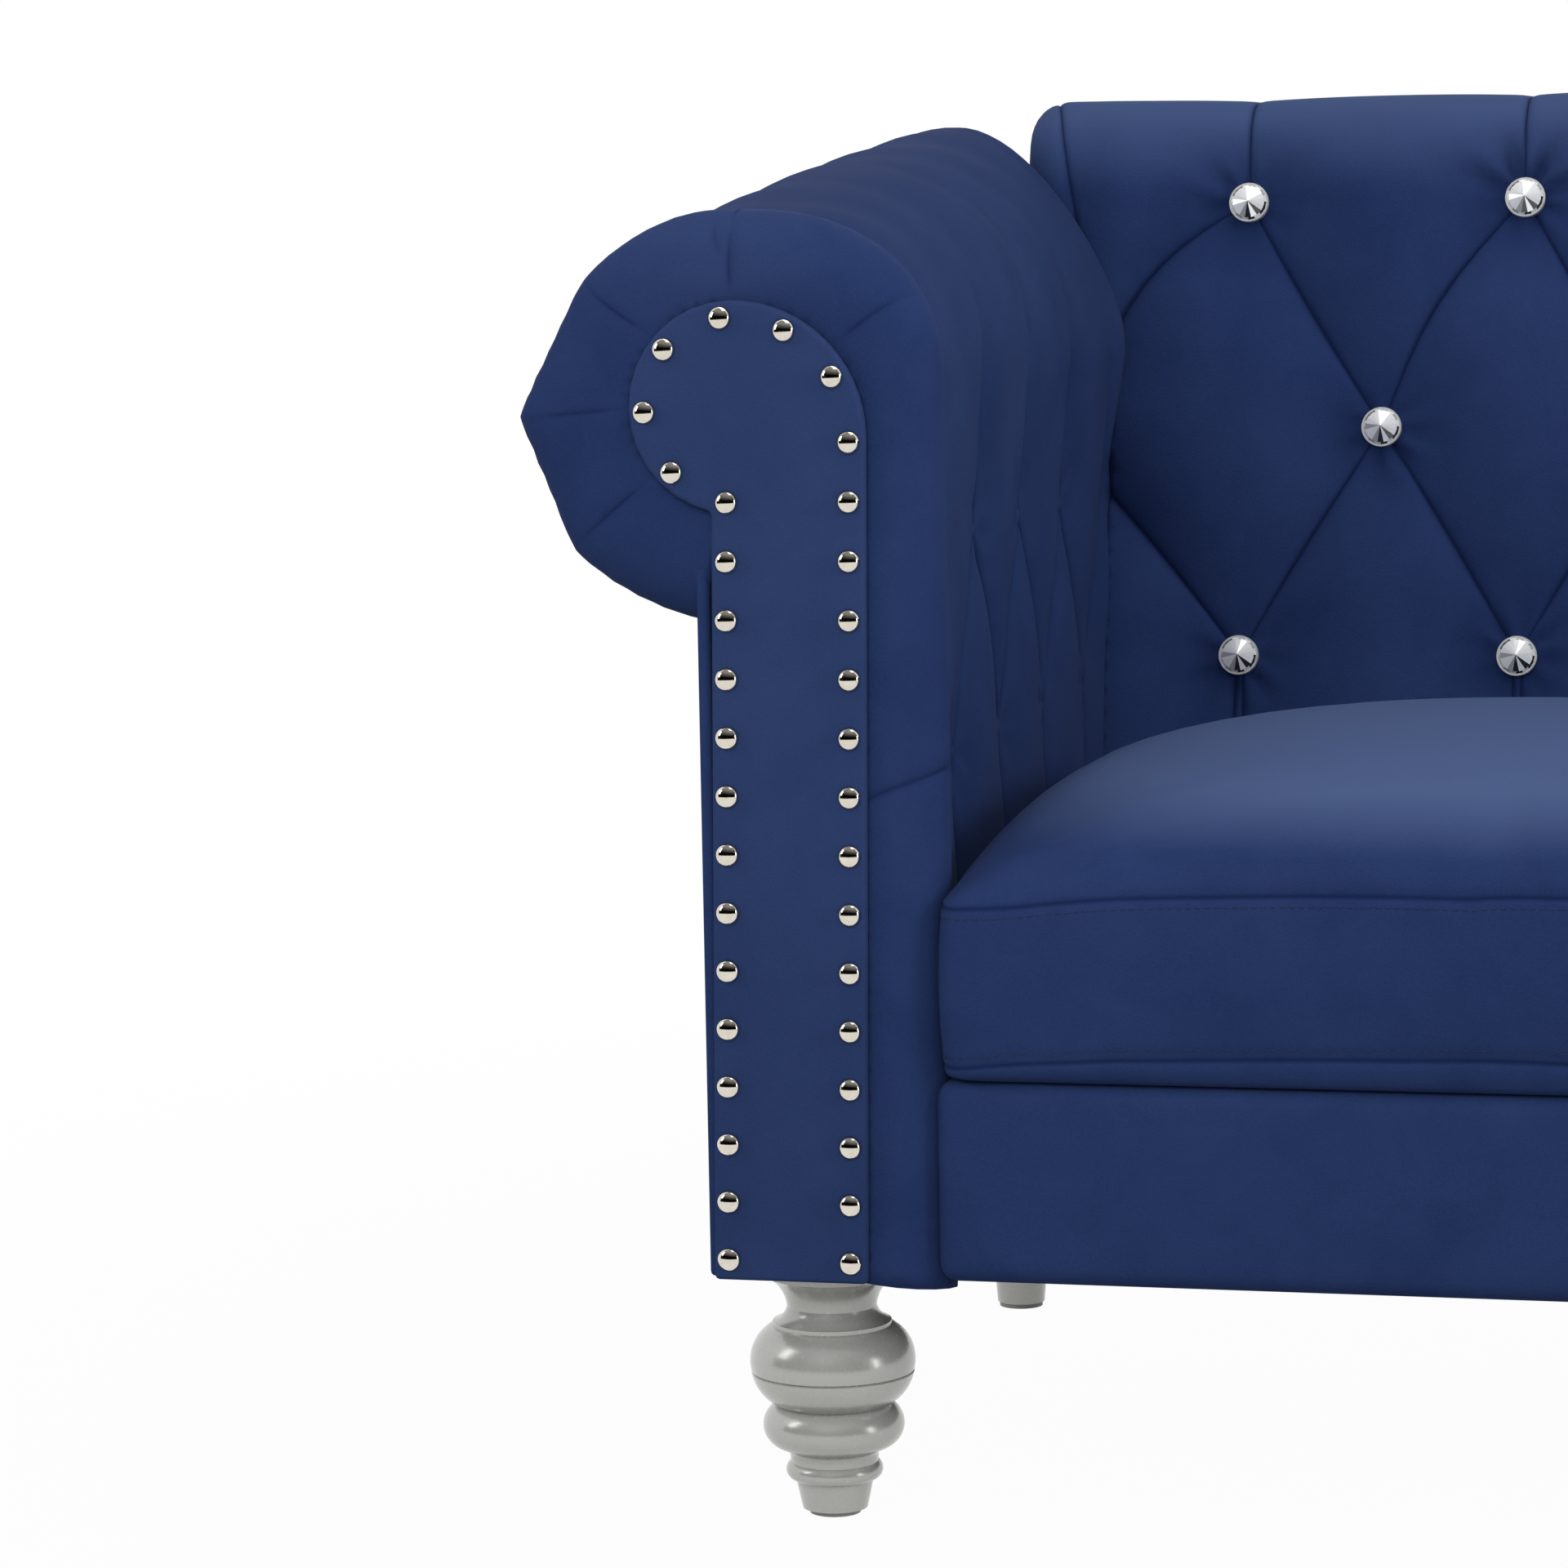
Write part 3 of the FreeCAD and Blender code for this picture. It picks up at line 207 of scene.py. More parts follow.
# Painted light: the first mark lightens towards a pale painted sheen where light falls on tops and heads; the
# second darkens towards painted shade in folds, seams and dimples.
for mark, colour in (("nap_and_painted_sheen", "#45557c"), ("painted_shade", "#101c40")):
    laid = add(tree, "ShaderNodeAttribute", attribute_name=mark)
    pile = add(tree, "ShaderNodeMix", {"Factor": laid.outputs["Fac"], "A": pile.outputs["Result"],
                                       "B": linear(colour)}, data_type="RGBA")
tree.links.new(pile.outputs["Result"], shader.inputs["Base Color"])
relief = add(tree, "ShaderNodeMath", {0: fibre.outputs["Fac"], 1: nap_and_painted_sheen.outputs["Fac"]}, operation="ADD")
bump = add(tree, "ShaderNodeBump", {"Height": relief.outputs[0], "Strength": 0.35, "Distance": 0.0006})
tree.links.new(bump.outputs["Normal"], shader.inputs["Normal"])


# Deck: a thin wadded pad on the webbing under the loose cushions, covered in plain velvet,
# with its front edge rolled over the rail and its sides tucked under the arms.
def covered(name, form):
    # A modelled form in its velvet cover, fixed to the frame.
    mesh = bpy.data.meshes.new(name)
    form.to_mesh(mesh)
    form.free()
    mesh.materials.append(velvet)
    mesh.shade_smooth()
    return put(name, mesh, "frame")


def soft_board(name, low, high, edge, puff, cells=(40, 24, 6)):
    # A covered board or thin pad: rounded edges, faces a little swollen by the wadding.
    form = bmesh.new()
    bmesh.ops.create_cube(form, size=1.0)
    bmesh.ops.transform(form, matrix=Matrix.Diagonal((*(high - low), 1.0)), verts=form.verts)
    bmesh.ops.translate(form, vec=(low + high) / 2, verts=form.verts)
    bmesh.ops.bevel(form, geom=form.edges[:], offset=edge, segments=4, profile=0.5, affect="EDGES")
    for axis, count in enumerate(cells):
        for k in range(1, count):
            spot, way = Vector((0, 0, 0)), Vector((0, 0, 0))
            spot[axis] = low[axis] + edge + (high[axis] - low[axis] - 2 * edge) * k / count
            way[axis] = 1
            bmesh.ops.bisect_plane(form, geom=form.verts[:] + form.edges[:] + form.faces[:],
                                   plane_co=spot, plane_no=way)
    span = high - low
    thin = min(range(3), key=lambda a: span[a])
    for v in form.verts:
        share = [min(1.0, max(0.0, (v.co[a] - low[a]) / span[a])) for a in range(3)]
        swell = math.prod((4 * share[a] * (1 - share[a])) ** 0.35 for a in range(3) if a != thin)
        v.co[thin] += puff * swell * (2 * share[thin] - 1)
    return covered(name, form)


DECK_LAP, DECK_LOW = Vector((0.004, 0, 0)), Vector((0, 0, 0.001))
low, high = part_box("seat_deck")
deck = soft_board("seat_deck_pad", low - DECK_LAP, high + DECK_LAP - DECK_LOW, 0.005, 0.0004)
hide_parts("seat_deck")


# Tufted back: velvet over foam, pulled to the frame at every button. Loose cloth between the
# buttons is laid in diagonal folds; straight pleats run from the end rows to the edges.
def along(chain, step):
    # Points every step along a chain of straight runs.
    chain = np.array(chain, float)
    runs = np.linalg.norm(np.diff(chain, axis=0), axis=1)
    reach = np.concatenate([[0], np.cumsum(runs)])
    count = max(2, int(reach[-1] / step) + 1)
    spots = np.linspace(0, reach[-1], count)
    return np.stack([np.interp(spots, reach, chain[:, k]) for k in (0, 1)], 1)


def distance_to(points, chain):
    best = np.full(len(points), 1e9)
    for a, b in zip(chain[:-1], chain[1:]):
        run = b - a
        share = np.clip(((points - a) @ run) / (run @ run), 0, 1)
        best = np.minimum(best, np.linalg.norm(points - a - share[:, None] * run, axis=1))
    return best


def bowed(a, b, bow):
    # A fold that bends a little sideways between its ends.
    a, b = np.array(a, float), np.array(b, float)
    side = np.array([-(b - a)[1], (b - a)[0]]) / np.linalg.norm(b - a)
    return [a + (b - a) * t + side * bow * math.sin(math.pi * t) for t in np.linspace(0, 1, 9)]


def straight(*ends):
    return [np.array(p) for p in ends]


def inside(points, outline):
    hit = np.zeros(len(points), bool)
    for a, b in zip(outline, np.roll(outline, -1, axis=0)):
        crosses = (a[1] > points[:, 1]) != (b[1] > points[:, 1])
        with np.errstate(divide="ignore", invalid="ignore"):
            x = a[0] + (points[:, 1] - a[1]) * (b[0] - a[0]) / (b[1] - a[1])
        hit ^= crosses & (points[:, 0] < x)
    return hit


# Spacing of the mesh in millimetres: rows beside a fold, steps along it, and the open cloth.
FOLD_ROWS = (1.0, 2.6, 5.5, 10.0)
FOLD_STEP, OPEN_STEP, BUTTON_R, GATHER, RIM_CLEAR = 3.5, 7.5, 6.0, 40.0, 2.0


def tufted(name, outline, folds, spots, surface, creases, flip=False):
    # A flat cut of cloth, in millimetres, meshed along its folds and laid on its surface.
    outline = np.array(outline, float)
    rim = along(np.vstack([outline, outline[:1]]), OPEN_STEP)[:-1]
    lines = [np.array(f, float) for f in [*folds, *creases]]
    chains = [along(f, FOLD_STEP) for f in lines]
    near = lambda p: np.min([distance_to(p, f) for f in lines], axis=0)
    loose = []
    for row in FOLD_ROWS:
        both = []
        for c in chains:
            way = np.gradient(c, axis=0)
            side = np.stack([-way[:, 1], way[:, 0]], 1) / np.linalg.norm(way, axis=1)[:, None]
            both += [c + side * row, c - side * row]
        both = np.vstack(both)
        loose.append(both[near(both) > 0.92 * row])
    rings = []
    for x, y in spots:
        for r in np.arange(BUTTON_R, GATHER, FOLD_STEP):
            turn = np.arange(0, 2 * np.pi, 2 * np.pi / max(12, int(2 * np.pi * r / 5)))
            rings.append(np.stack([x + r * np.cos(turn), y + r * np.sin(turn)], 1))
    rings = np.vstack(rings)
    loose.append(rings[near(rings) > FOLD_ROWS[-1] / 2])
    low, high = outline.min(0), outline.max(0)
    gx, gy = np.meshgrid(np.arange(low[0], high[0], OPEN_STEP), np.arange(low[1], high[1], OPEN_STEP))
    gx[1::2] += OPEN_STEP / 2
    field = np.stack([gx.ravel(), gy.ravel()], 1)
    field = field[near(field) > FOLD_ROWS[-1] + 3]
    for x, y in spots:
        field = field[np.hypot(field[:, 0] - x, field[:, 1] - y) > GATHER]
    loose = np.vstack([*loose, field])
    loose = loose[inside(loose, outline)]
    loose = loose[distance_to(loose, np.vstack([rim, rim[:1]])) > RIM_CLEAR]
    coords = [tuple(p) for p in rim]
    edges = []
    for c in chains:
        c = c[inside(c, outline)]
        first = len(coords)
        coords += [tuple(p) for p in c]
        edges += [(first + k, first + k + 1) for k in range(len(c) - 1)]
    coords += [tuple(p) for p in loose]
    verts, _, tris = delaunay_2d_cdt([Vector(p) for p in coords], edges, [list(range(len(rim)))], 1, 1e-4)[:3]
    shape, marks = surface(np.array([tuple(v) for v in verts]))
    if flip:
        shape = shape * np.array([-1, 1, 1])
        tris = [t[::-1] for t in tris]
    return put(name, smooth_mesh(name, shape, tris, velvet, marks), "frame")


def plump(flat, folds, soft):
    # How full the wadding is: nothing on a fold, rising to 1 between folds.
    full = np.ones(len(flat))
    nearest = np.full(len(flat), 1e9)
    for chain in folds:
        d = distance_to(flat, np.array(chain, float))
        full *= 1 - np.exp(-d / soft)
        nearest = np.minimum(nearest, d)
    return full, nearest


def gathers(flat, spots, height, reach, count, seed):
    # Small tucks that fan out round a button.
    rise = np.zeros(len(flat))
    draw = np.random.default_rng(seed)
    for x, y in spots:
        r = np.hypot(flat[:, 0] - x, flat[:, 1] - y)
        turn = np.arctan2(flat[:, 1] - y, flat[:, 0] - x)
        phase, lean = draw.uniform(0, 6.28, 2)
        ripple = np.sin(count * turn + phase) * (0.6 + 0.4 * np.sin(turn + lean))
        rise += height * ripple * np.exp(-((r - 16) / reach) ** 2) * np.clip((r - 8) / 8, 0, 1)
    return rise


def arc(cy, cz, r, first, last):
    turns = np.radians(np.linspace(first, last, 16))
    return [(cy + r * math.cos(t), cz + r * math.sin(t)) for t in turns]


def ease(value, start, run):
    # A share that goes from 0 to 1 over a run.
    return np.clip((value - start) / run, 0, 1)


MM = 0.001
RAKE = 0.2
BACK_THICK, BACK_FRONT_ROUND, BACK_REAR_ROUND = 130.0, 39.0, 26.0
BACK_FULL, BACK_SOFT, SLIT, BUTTON_SINK, BUTTON_PULL, TOP_DIP = 29.0, 36.0, 2.2, 33.0, 0.85, 3.0
PITCH, ROW_UP, FIRST_ROW = 175.0, 142.0, 178.0
# Tucks round a button: height, reach, count and seed.
BUTTON_TUCKS, TOP_TUCKS = (1.9, 17.0, 8, 4), (4.6, 32.0, 7, 11)
EAR_ROUND, EAR_LAP, EAR_TUCK, EAR_BASE, BACK_SKIN = 24.0, 11.0, 3.5, 575.0, 0.006
slope = math.sqrt(1 + RAKE ** 2)
pad_low, pad_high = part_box("back_pad")
rear_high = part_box("back_rear_panel")[1]
seat_top = pad_low.z / MM
back_top = pad_high.z / MM
back_rear = rear_high.z / MM
ear_end = pad_high.x / MM
arm_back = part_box("arm_rear_panel_left")[1].y / MM
half_seat = -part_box("arm_roll_pad_left")[1].x / MM

# The arm's cover is measured by t, from the floor end up the inside and over the roll: straight
# to CURVE_T, round the shoulder to ROLL_T, and round the roll to END_T.
face_low, face_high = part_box("arm_front_panel_left")
FLOOR_Z, HEAD_TOP = face_low.z / MM, face_high.z / MM
ROLL_R, ARM_RISE, ROLL_OUT, ROLL_OVER, SHOULDER = 100.0, 55.0, 817.0, 34.5, 17.0
ROLL_U, ROLL_Z = ROLL_OUT - ROLL_R, HEAD_TOP + ROLL_OVER - ROLL_R
CURVE_T, ROLL_T, END_T = 477.0, 627.0, 949.0
FIRST_ANGLE, LAST_ANGLE = 97.0, -87.0


def roll_section(t, part):
    # The arm's skin: straight inside face, full shoulder, then round the roll.
    rise = ARM_RISE * part
    share = np.clip(t / CURVE_T, 0, 1)
    start_z = ROLL_Z + SHOULDER - 2 * part
    u, z = np.full_like(t, half_seat), FLOOR_Z + share * (start_z - FLOOR_Z)
    angle = np.radians(np.interp(t, [ROLL_T, END_T], [FIRST_ANGLE, LAST_ANGLE]))
    top_u = ROLL_U + ROLL_R * math.cos(math.radians(FIRST_ANGLE))
    top_z = ROLL_Z + rise + ROLL_R * math.sin(math.radians(FIRST_ANGLE))
    turn = ease(t, CURVE_T, ROLL_T - CURVE_T) * math.pi / 2
    power = 2 / (2.5 - 1.05 * part)
    u = np.where(t > CURVE_T, top_u - (top_u - half_seat) * np.abs(np.cos(turn)) ** power, u)
    z = np.where(t > CURVE_T, start_z + (top_z - start_z) * np.abs(np.sin(turn)) ** power, z)
    u = np.where(t > ROLL_T, ROLL_U + ROLL_R * np.cos(angle), u)
    z = np.where(t > ROLL_T, ROLL_Z + rise + ROLL_R * np.sin(angle), z)
    return u, z


def roll_top(u):
    # Height of the arm's skin where it runs into the back.
    return np.interp(u, *roll_section(np.linspace(CURVE_T, ROLL_T, 60), 1.0))


def back_fold(z):
    return rear_high.y / MM - BACK_THICK + RAKE * (z - back_rear)


lean_angle = math.degrees(math.atan(RAKE))
front_z, rear_z = back_top - BACK_FRONT_ROUND, back_top - BACK_REAR_ROUND
section = [(back_fold(seat_top), seat_top)]
section += arc(back_fold(front_z) + BACK_FRONT_ROUND * slope, front_z, BACK_FRONT_ROUND, 180 - lean_angle, 90)
section += arc(back_fold(rear_z) + BACK_THICK - BACK_REAR_ROUND * slope, rear_z, BACK_REAR_ROUND,
               90, -lean_angle)
section += [(back_fold(back_rear) + BACK_THICK, back_rear)]
section = along(section, 2.0)
reach = np.concatenate([[0], np.cumsum(np.linalg.norm(np.diff(section, axis=0), axis=1))])
heading = np.gradient(section, axis=0)
heading = heading / np.linalg.norm(heading, axis=1)[:, None]
back_end = reach[-1]
rows = [FIRST_ROW * slope, (FIRST_ROW + ROW_UP) * slope, (FIRST_ROW + 2 * ROW_UP) * slope]
wide = [PITCH * k for k in range(-3, 4)]
narrow = [PITCH * (k - 2.5) for k in range(6)]
back_edge = half_seat + 8.0
top_buttons = [(x, rows[2]) for x in wide]
back_buttons = [(x, rows[0]) for x in wide] + [(x, rows[1]) for x in narrow] + top_buttons
back_folds = []
for x in narrow:
    for side in (-1, 1):
        for row in (0, 2):
            outward = row == 2 and side * x < 0
            bow = (12.0 * side if outward else -1.5 * side) * (-1 if row else 1)
            back_folds.append(bowed((x + side * PITCH / 2, rows[row]), (x, rows[1]), bow))
for side in (-1, 1):
    edge = side * (back_edge + 8)
    back_folds.append(bowed((side * wide[-1], rows[2]), (edge, rows[2] - 98), side * 14.0))
    back_folds.append(bowed((side * wide[-1], rows[0]), (edge, rows[0] + 112), side * 2.0))
for x in wide:
    back_folds.append(bowed((x, rows[2]), (x + 3, back_end - 10), 2.5))
    for side in (-6, 6):
        back_folds.append(straight((x + side * 0.4, rows[0] - 6.0), (x + side, 2.0)))
ear_flat = ear_end - EAR_ROUND
ear_turned = EAR_ROUND * math.pi / 2
ear_side = ear_flat + ear_turned + EAR_LAP
ear_low = reach[np.argmax(section[:, 1] > EAR_BASE)]
ear_seams = [straight((side * (half_seat + 16), ear_low + 45), (side * (half_seat + 58), back_end - 95))
             for side in (-1, 1)]


def back_surface(flat):
    x, s = flat[:, 0], np.clip(flat[:, 1], 0, back_end)
    y, z = np.interp(s, reach, section[:, 0]), np.interp(s, reach, section[:, 1])
    ty, tz = np.interp(s, reach, heading[:, 0]), np.interp(s, reach, heading[:, 1])
    full, nearest = plump(flat, back_folds, BACK_SOFT)
    dimple = sum(np.exp(-((x - bx) ** 2 + (flat[:, 1] - bs) ** 2) / BUTTON_SINK ** 2)
                 for bx, bs in back_buttons)
    full *= 1 - BUTTON_PULL * dimple
    over = ease(s, rows[2] + 10, 75)
    over = over * over * (3 - 2 * over)
    ends = 0.35 + 0.65 / (1 + np.exp((np.abs(x) - half_seat - 20) / 9))
    rise = (BACK_FULL * full * (1 - over) + (full - 1) * TOP_DIP * over) * ends - TOP_DIP * over
    tuck = np.clip((back_end - s) / 25, 0, 1)
    rise = rise * tuck + gathers(flat, back_buttons, *BUTTON_TUCKS)
    rise += gathers(flat, top_buttons, *TOP_TUCKS) * ease(s, rows[2], 12)
    seam = np.min([distance_to(flat, np.array(c)) for c in ear_seams], axis=0)
    rise -= SLIT * np.exp(-nearest / 1.6) * tuck + 2.0 * np.exp(-seam / 2.0)
    # The ears turn round their ends; at the rear they are squarer and hang behind the end boards.
    past = np.clip(np.abs(x) - ear_flat, 0, None)
    turn = np.clip(past / EAR_ROUND, 0, math.pi / 2)
    lap = np.clip(past - ear_turned, 0, None)
    square, hang = ease(s, back_end - 45, 30), ease(s, back_end - 75, 30)
    drop = EAR_ROUND * (1 - np.cos(turn)) * (1 - 0.8 * square) + lap * (1 - hang)
    px = np.where(past > 0, ear_flat + EAR_ROUND * np.sin(turn), np.abs(x)) * np.sign(x)
    px = px - np.sign(x) * EAR_TUCK * np.clip(2.5 * lap / EAR_LAP, 0, 1) * hang
    rise = np.where(past > 0, rise * np.cos(turn), rise) - drop
    py, pz = y - tz * rise, z + ty * rise - 2.2 * lap * hang * (1 - 0.55 * square)
    behind = ease(np.abs(x), back_edge, 2.0) * np.clip((roll_top(np.abs(px)) - 16 - pz) / 6, 0, 1)
    py = py + behind * np.clip(arm_back + 0.8 + 0.5 * drop - py, 0, None)
    # Painted shade in the folds, along the ear seams and round each button; a painted sheen, paler over the
    # rounded top of the back where the light falls.
    marks = {"painted_shade": np.maximum(np.exp(-np.minimum(nearest, seam) / 1.1) * tuck * 0.9, 0.5 * dimple),
             "nap_and_painted_sheen": np.interp(s, [rows[2] + 5, rows[2] + 60, back_end - 80, back_end - 20],
                              [0, 0.6, 0.6, 0.15])}
    return np.stack([px, py, pz], 1) * MM, marks


half_outline = [(back_edge, 0), (back_edge, ear_low), (ear_side, ear_low), (ear_side, back_end)]
back_outline = [(-back_edge, 0)] + half_outline + [(-x, s) for x, s in half_outline[:0:-1]]
steps = [straight((side * (back_edge + d), ear_low + 1), (side * (back_edge + d), back_end - 1))
         for side in (-1, 1) for d in (0.0, 2.0)]
back = tufted("tufted_back", back_outline, back_folds, back_buttons, back_surface, steps + ear_seams)
thicken(back, BACK_SKIN)
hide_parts("back_pad")


# Outside back and its two ends: boards covered in plain velvet, drawn tight over thin wadding
# and blind-stitched under the top roll. A pinch of covered wadding fills each top corner, where
# the roll, the outside back and the end meet.
def panel(name, node, outline, axis, start, depth, edge):
    # A covered board from its outline in the plane across axis, with softly rounded edges.
    form = bmesh.new()
    others = [a for a in range(3) if a != axis]
    ring = []
    for p in outline:
        spot = [0, 0, 0]
        spot[axis] = start
        spot[others[0]], spot[others[1]] = p
        ring.append(form.verts.new(spot))
    form.faces.new(ring)
    top = bmesh.ops.extrude_face_region(form, geom=form.faces[:])
    way = Vector((0, 0, 0))
    way[axis] = depth
    bmesh.ops.translate(form, vec=way, verts=[v for v in top["geom"] if isinstance(v, bmesh.types.BMVert)])
    bmesh.ops.recalc_face_normals(form, faces=form.faces[:])
    sharp = [e for e in form.edges if len(e.link_faces) == 2 and e.calc_face_angle() > 0.6]
    bmesh.ops.bevel(form, geom=sharp, offset=edge, segments=4, profile=0.5, affect="EDGES")
    made = covered(name, form)
    made.data.set_sharp_from_angle(angle=math.radians(50))
    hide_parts(node)
    return made


SIDES = (("left", -1), ("right", 1))
EAR_IN, CORNER_IN, CORNER_EDGE = 34.0, 0.0015, 0.008
CORNER_WIDE, CORNER_DEEP, CORNER_BELOW, CORNER_ABOVE = 0.045, 0.05, 0.014, 0.010
low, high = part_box("back_rear_panel")
deep, tall = back_fold(low.z / MM) * MM, back_fold(high.z / MM) * MM
thick, board = BACK_THICK * MM, 0.005
outline = [(deep + thick - board, low.z), (deep + thick, low.z), (tall + thick, high.z),
           (tall + thick - board, high.z)]
panel("outside_back", "back_rear_panel", outline, 0, low.x, high.x - low.x, 0.0018)
for name, side in SIDES:
    low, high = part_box("back_side_panel_" + name)
    top_y = back_fold(high.z / MM) * MM
    low_y = back_fold(low.z / MM) * MM + thick - board
    mid = (low.y / MM + 0.8 - back_fold(0) - EAR_IN) / RAKE * MM
    outline = [(low.y, low.z), (low.y, mid), (top_y + EAR_IN * MM, high.z), (top_y + thick - board, high.z),
               (low_y, low.z)]
    panel("back_end_" + name, "back_side_panel_" + name, outline, 0, low.x, high.x - low.x, 0.0015)
    rear_y = back_fold(back_rear) * MM + thick - CORNER_IN
    spans = sorted((side * (ear_end * MM - CORNER_IN), side * (ear_end * MM - CORNER_WIDE)))
    packed = soft_board("corner_wadding_" + name,
                        Vector((spans[0], rear_y - CORNER_DEEP, high.z - CORNER_BELOW)),
                        Vector((spans[1], rear_y, high.z + CORNER_ABOVE)), CORNER_EDGE, 0.0,
                        cells=(4, 4, 4))

# Scroll arms: one velvet cover each, tufted inside, carried over the roll in straight pleats
# and gathered round the front edge, where it is tucked under the facing in radial pleats.
FRONT_Y, FACE_IN = face_low.y / MM, -face_high.x / MM
HEAD_R, BOW_R, LEAN, TUCK_IN, PANEL_LAP = 56.5, 72.6, 6.5, 6.0, 14.0
HEAD_U, HEAD_Z, BOW_Z = FACE_IN + BOW_R, HEAD_TOP - HEAD_R, HEAD_TOP - BOW_R
PANEL_U = -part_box("arm_outside_panel_left")[0].x / MM
PAD_FRONT, PAD_BACK = [corner.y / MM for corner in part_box("arm_roll_pad_left")]
ROUND = 30.0
LIP = ROUND * math.pi / 2


def facing_section(t):
    # The facing's outline, drawn in by the tuck, on the same scale as the skin.
    share = np.clip(t / CURVE_T, 0, 1)
    u = FACE_IN + TUCK_IN + LEAN * (1 - share)
    z = FLOOR_Z + share * (BOW_Z - FLOOR_Z)
    turn = np.pi - ease(t, CURVE_T, ROLL_T - CURVE_T) * math.pi / 2
    u = np.where(t > CURVE_T, HEAD_U + (BOW_R - TUCK_IN) * np.cos(turn), u)
    z = np.where(t > CURVE_T, BOW_Z + (BOW_R - TUCK_IN) * np.sin(turn), z)
    last = -math.degrees(math.acos((PANEL_U - PANEL_LAP - HEAD_U) / (HEAD_R - TUCK_IN)))
    angle = np.radians(np.interp(t, [ROLL_T, END_T], [90.0, last]))
    u = np.where(t > ROLL_T, HEAD_U + (HEAD_R - TUCK_IN) * np.cos(angle), u)
    z = np.where(t > ROLL_T, HEAD_Z + (HEAD_R - TUCK_IN) * np.sin(angle), z)
    return u, z


def arm_skin(v, t):
    # Front edge first: from under the facing, round the edge, then back along the arm.
    turn = np.clip(v / LIP, 0, 1) * math.pi / 2
    y = np.where(v < LIP, ROUND * (1 - np.cos(turn)), ROUND + v - LIP)
    u, z = roll_section(t, ease(y, ROUND, PAD_BACK - PAD_FRONT - ROUND))
    fu, fz = facing_section(t)
    mix = np.sin(turn)
    return np.stack([-(fu + (u - fu) * mix), PAD_FRONT + y, fz + (z - fz) * mix], 1)


def at_y(depth):
    return depth - (PAD_FRONT - FRONT_Y) - ROUND + LIP


def at_z(z):
    return (z - FLOOR_Z) / (ROLL_Z + SHOULDER - FLOOR_Z) * CURVE_T


def at_angle(degrees):
    return np.interp(-degrees, [-FIRST_ANGLE, -LAST_ANGLE], [ROLL_T, END_T])


LOW_Z, HIGH_Z, ARM_PITCH, FIRST_TUFT = 414.0, 532.0, 126.0, 133.0
ARM_SOFT, ARM_FULL, ARM_SKIN, RAIL_DEPTH, DECK_TUCK = 24.0, 11.5, 0.004, 46.0, 25.0
PLEAT_SOFT, PLEAT_DIP, SWELL_FRONT, CREST, CREST_AT = 9.0, 1.6, 9.5, 12.0, 99
KNUCKLE, KNUCKLE_RISE, ARM_TUCKS = 110.0, [0.0, -2.0, 4.0, -1.0], (1.0, 12.0, 6, 9)
FRONT_PLEATS = (97.0, 46.0, 2.0, -40.0)
PLEAT_SAG = (-1.0, -8.0, -8.0, -3.0)
HEM, HEM_DROP, TAIL, SETTLE, INNER_ROLL_SHADE = 26.0, 7.0, 14.0, 45.0, 0.3
arm_end = at_y(PAD_BACK - FRONT_Y)
low_tufts = [(at_y(FIRST_TUFT + ARM_PITCH * k), at_z(LOW_Z)) for k in range(4)]
high_tufts = [(at_y(FIRST_TUFT + ARM_PITCH * (k + 0.5)), at_z(HIGH_Z)) for k in range(4)]
arm_folds = []
for k, (v, t) in enumerate(low_tufts):
    arm_folds.append(bowed((v, t), high_tufts[k], 4.0))
    if k:
        arm_folds.append(bowed((v, t), high_tufts[k - 1], -4.0))
    arm_folds.append(straight((v, t), (v + 2, at_z(seat_top) + 3)))
arm_folds += [straight((v, t), (v - 4, CURVE_T), (v - 2, END_T - 4)) for v, t in high_tufts]
arm_folds.append(bowed(low_tufts[0], (2.0, at_z(413)), -3.0))
front_pleats = [straight((1.0, at_angle(a)), (LIP, at_angle(a))) for a in FRONT_PLEATS]
shoulder = [CURVE_T + (ROLL_T - CURVE_T) * f for f in (0.45, 0.30, 0.36)]
front_pleats.append(straight((26.0, at_angle(92)), (LIP + 4, at_angle(89))))
front_pleats.append(straight((29.0, at_angle(102)), (LIP + 6, at_angle(106))))
front_pleats.append(straight((1.0, shoulder[0]), (LIP, shoulder[1]), (LIP + 34, shoulder[2])))


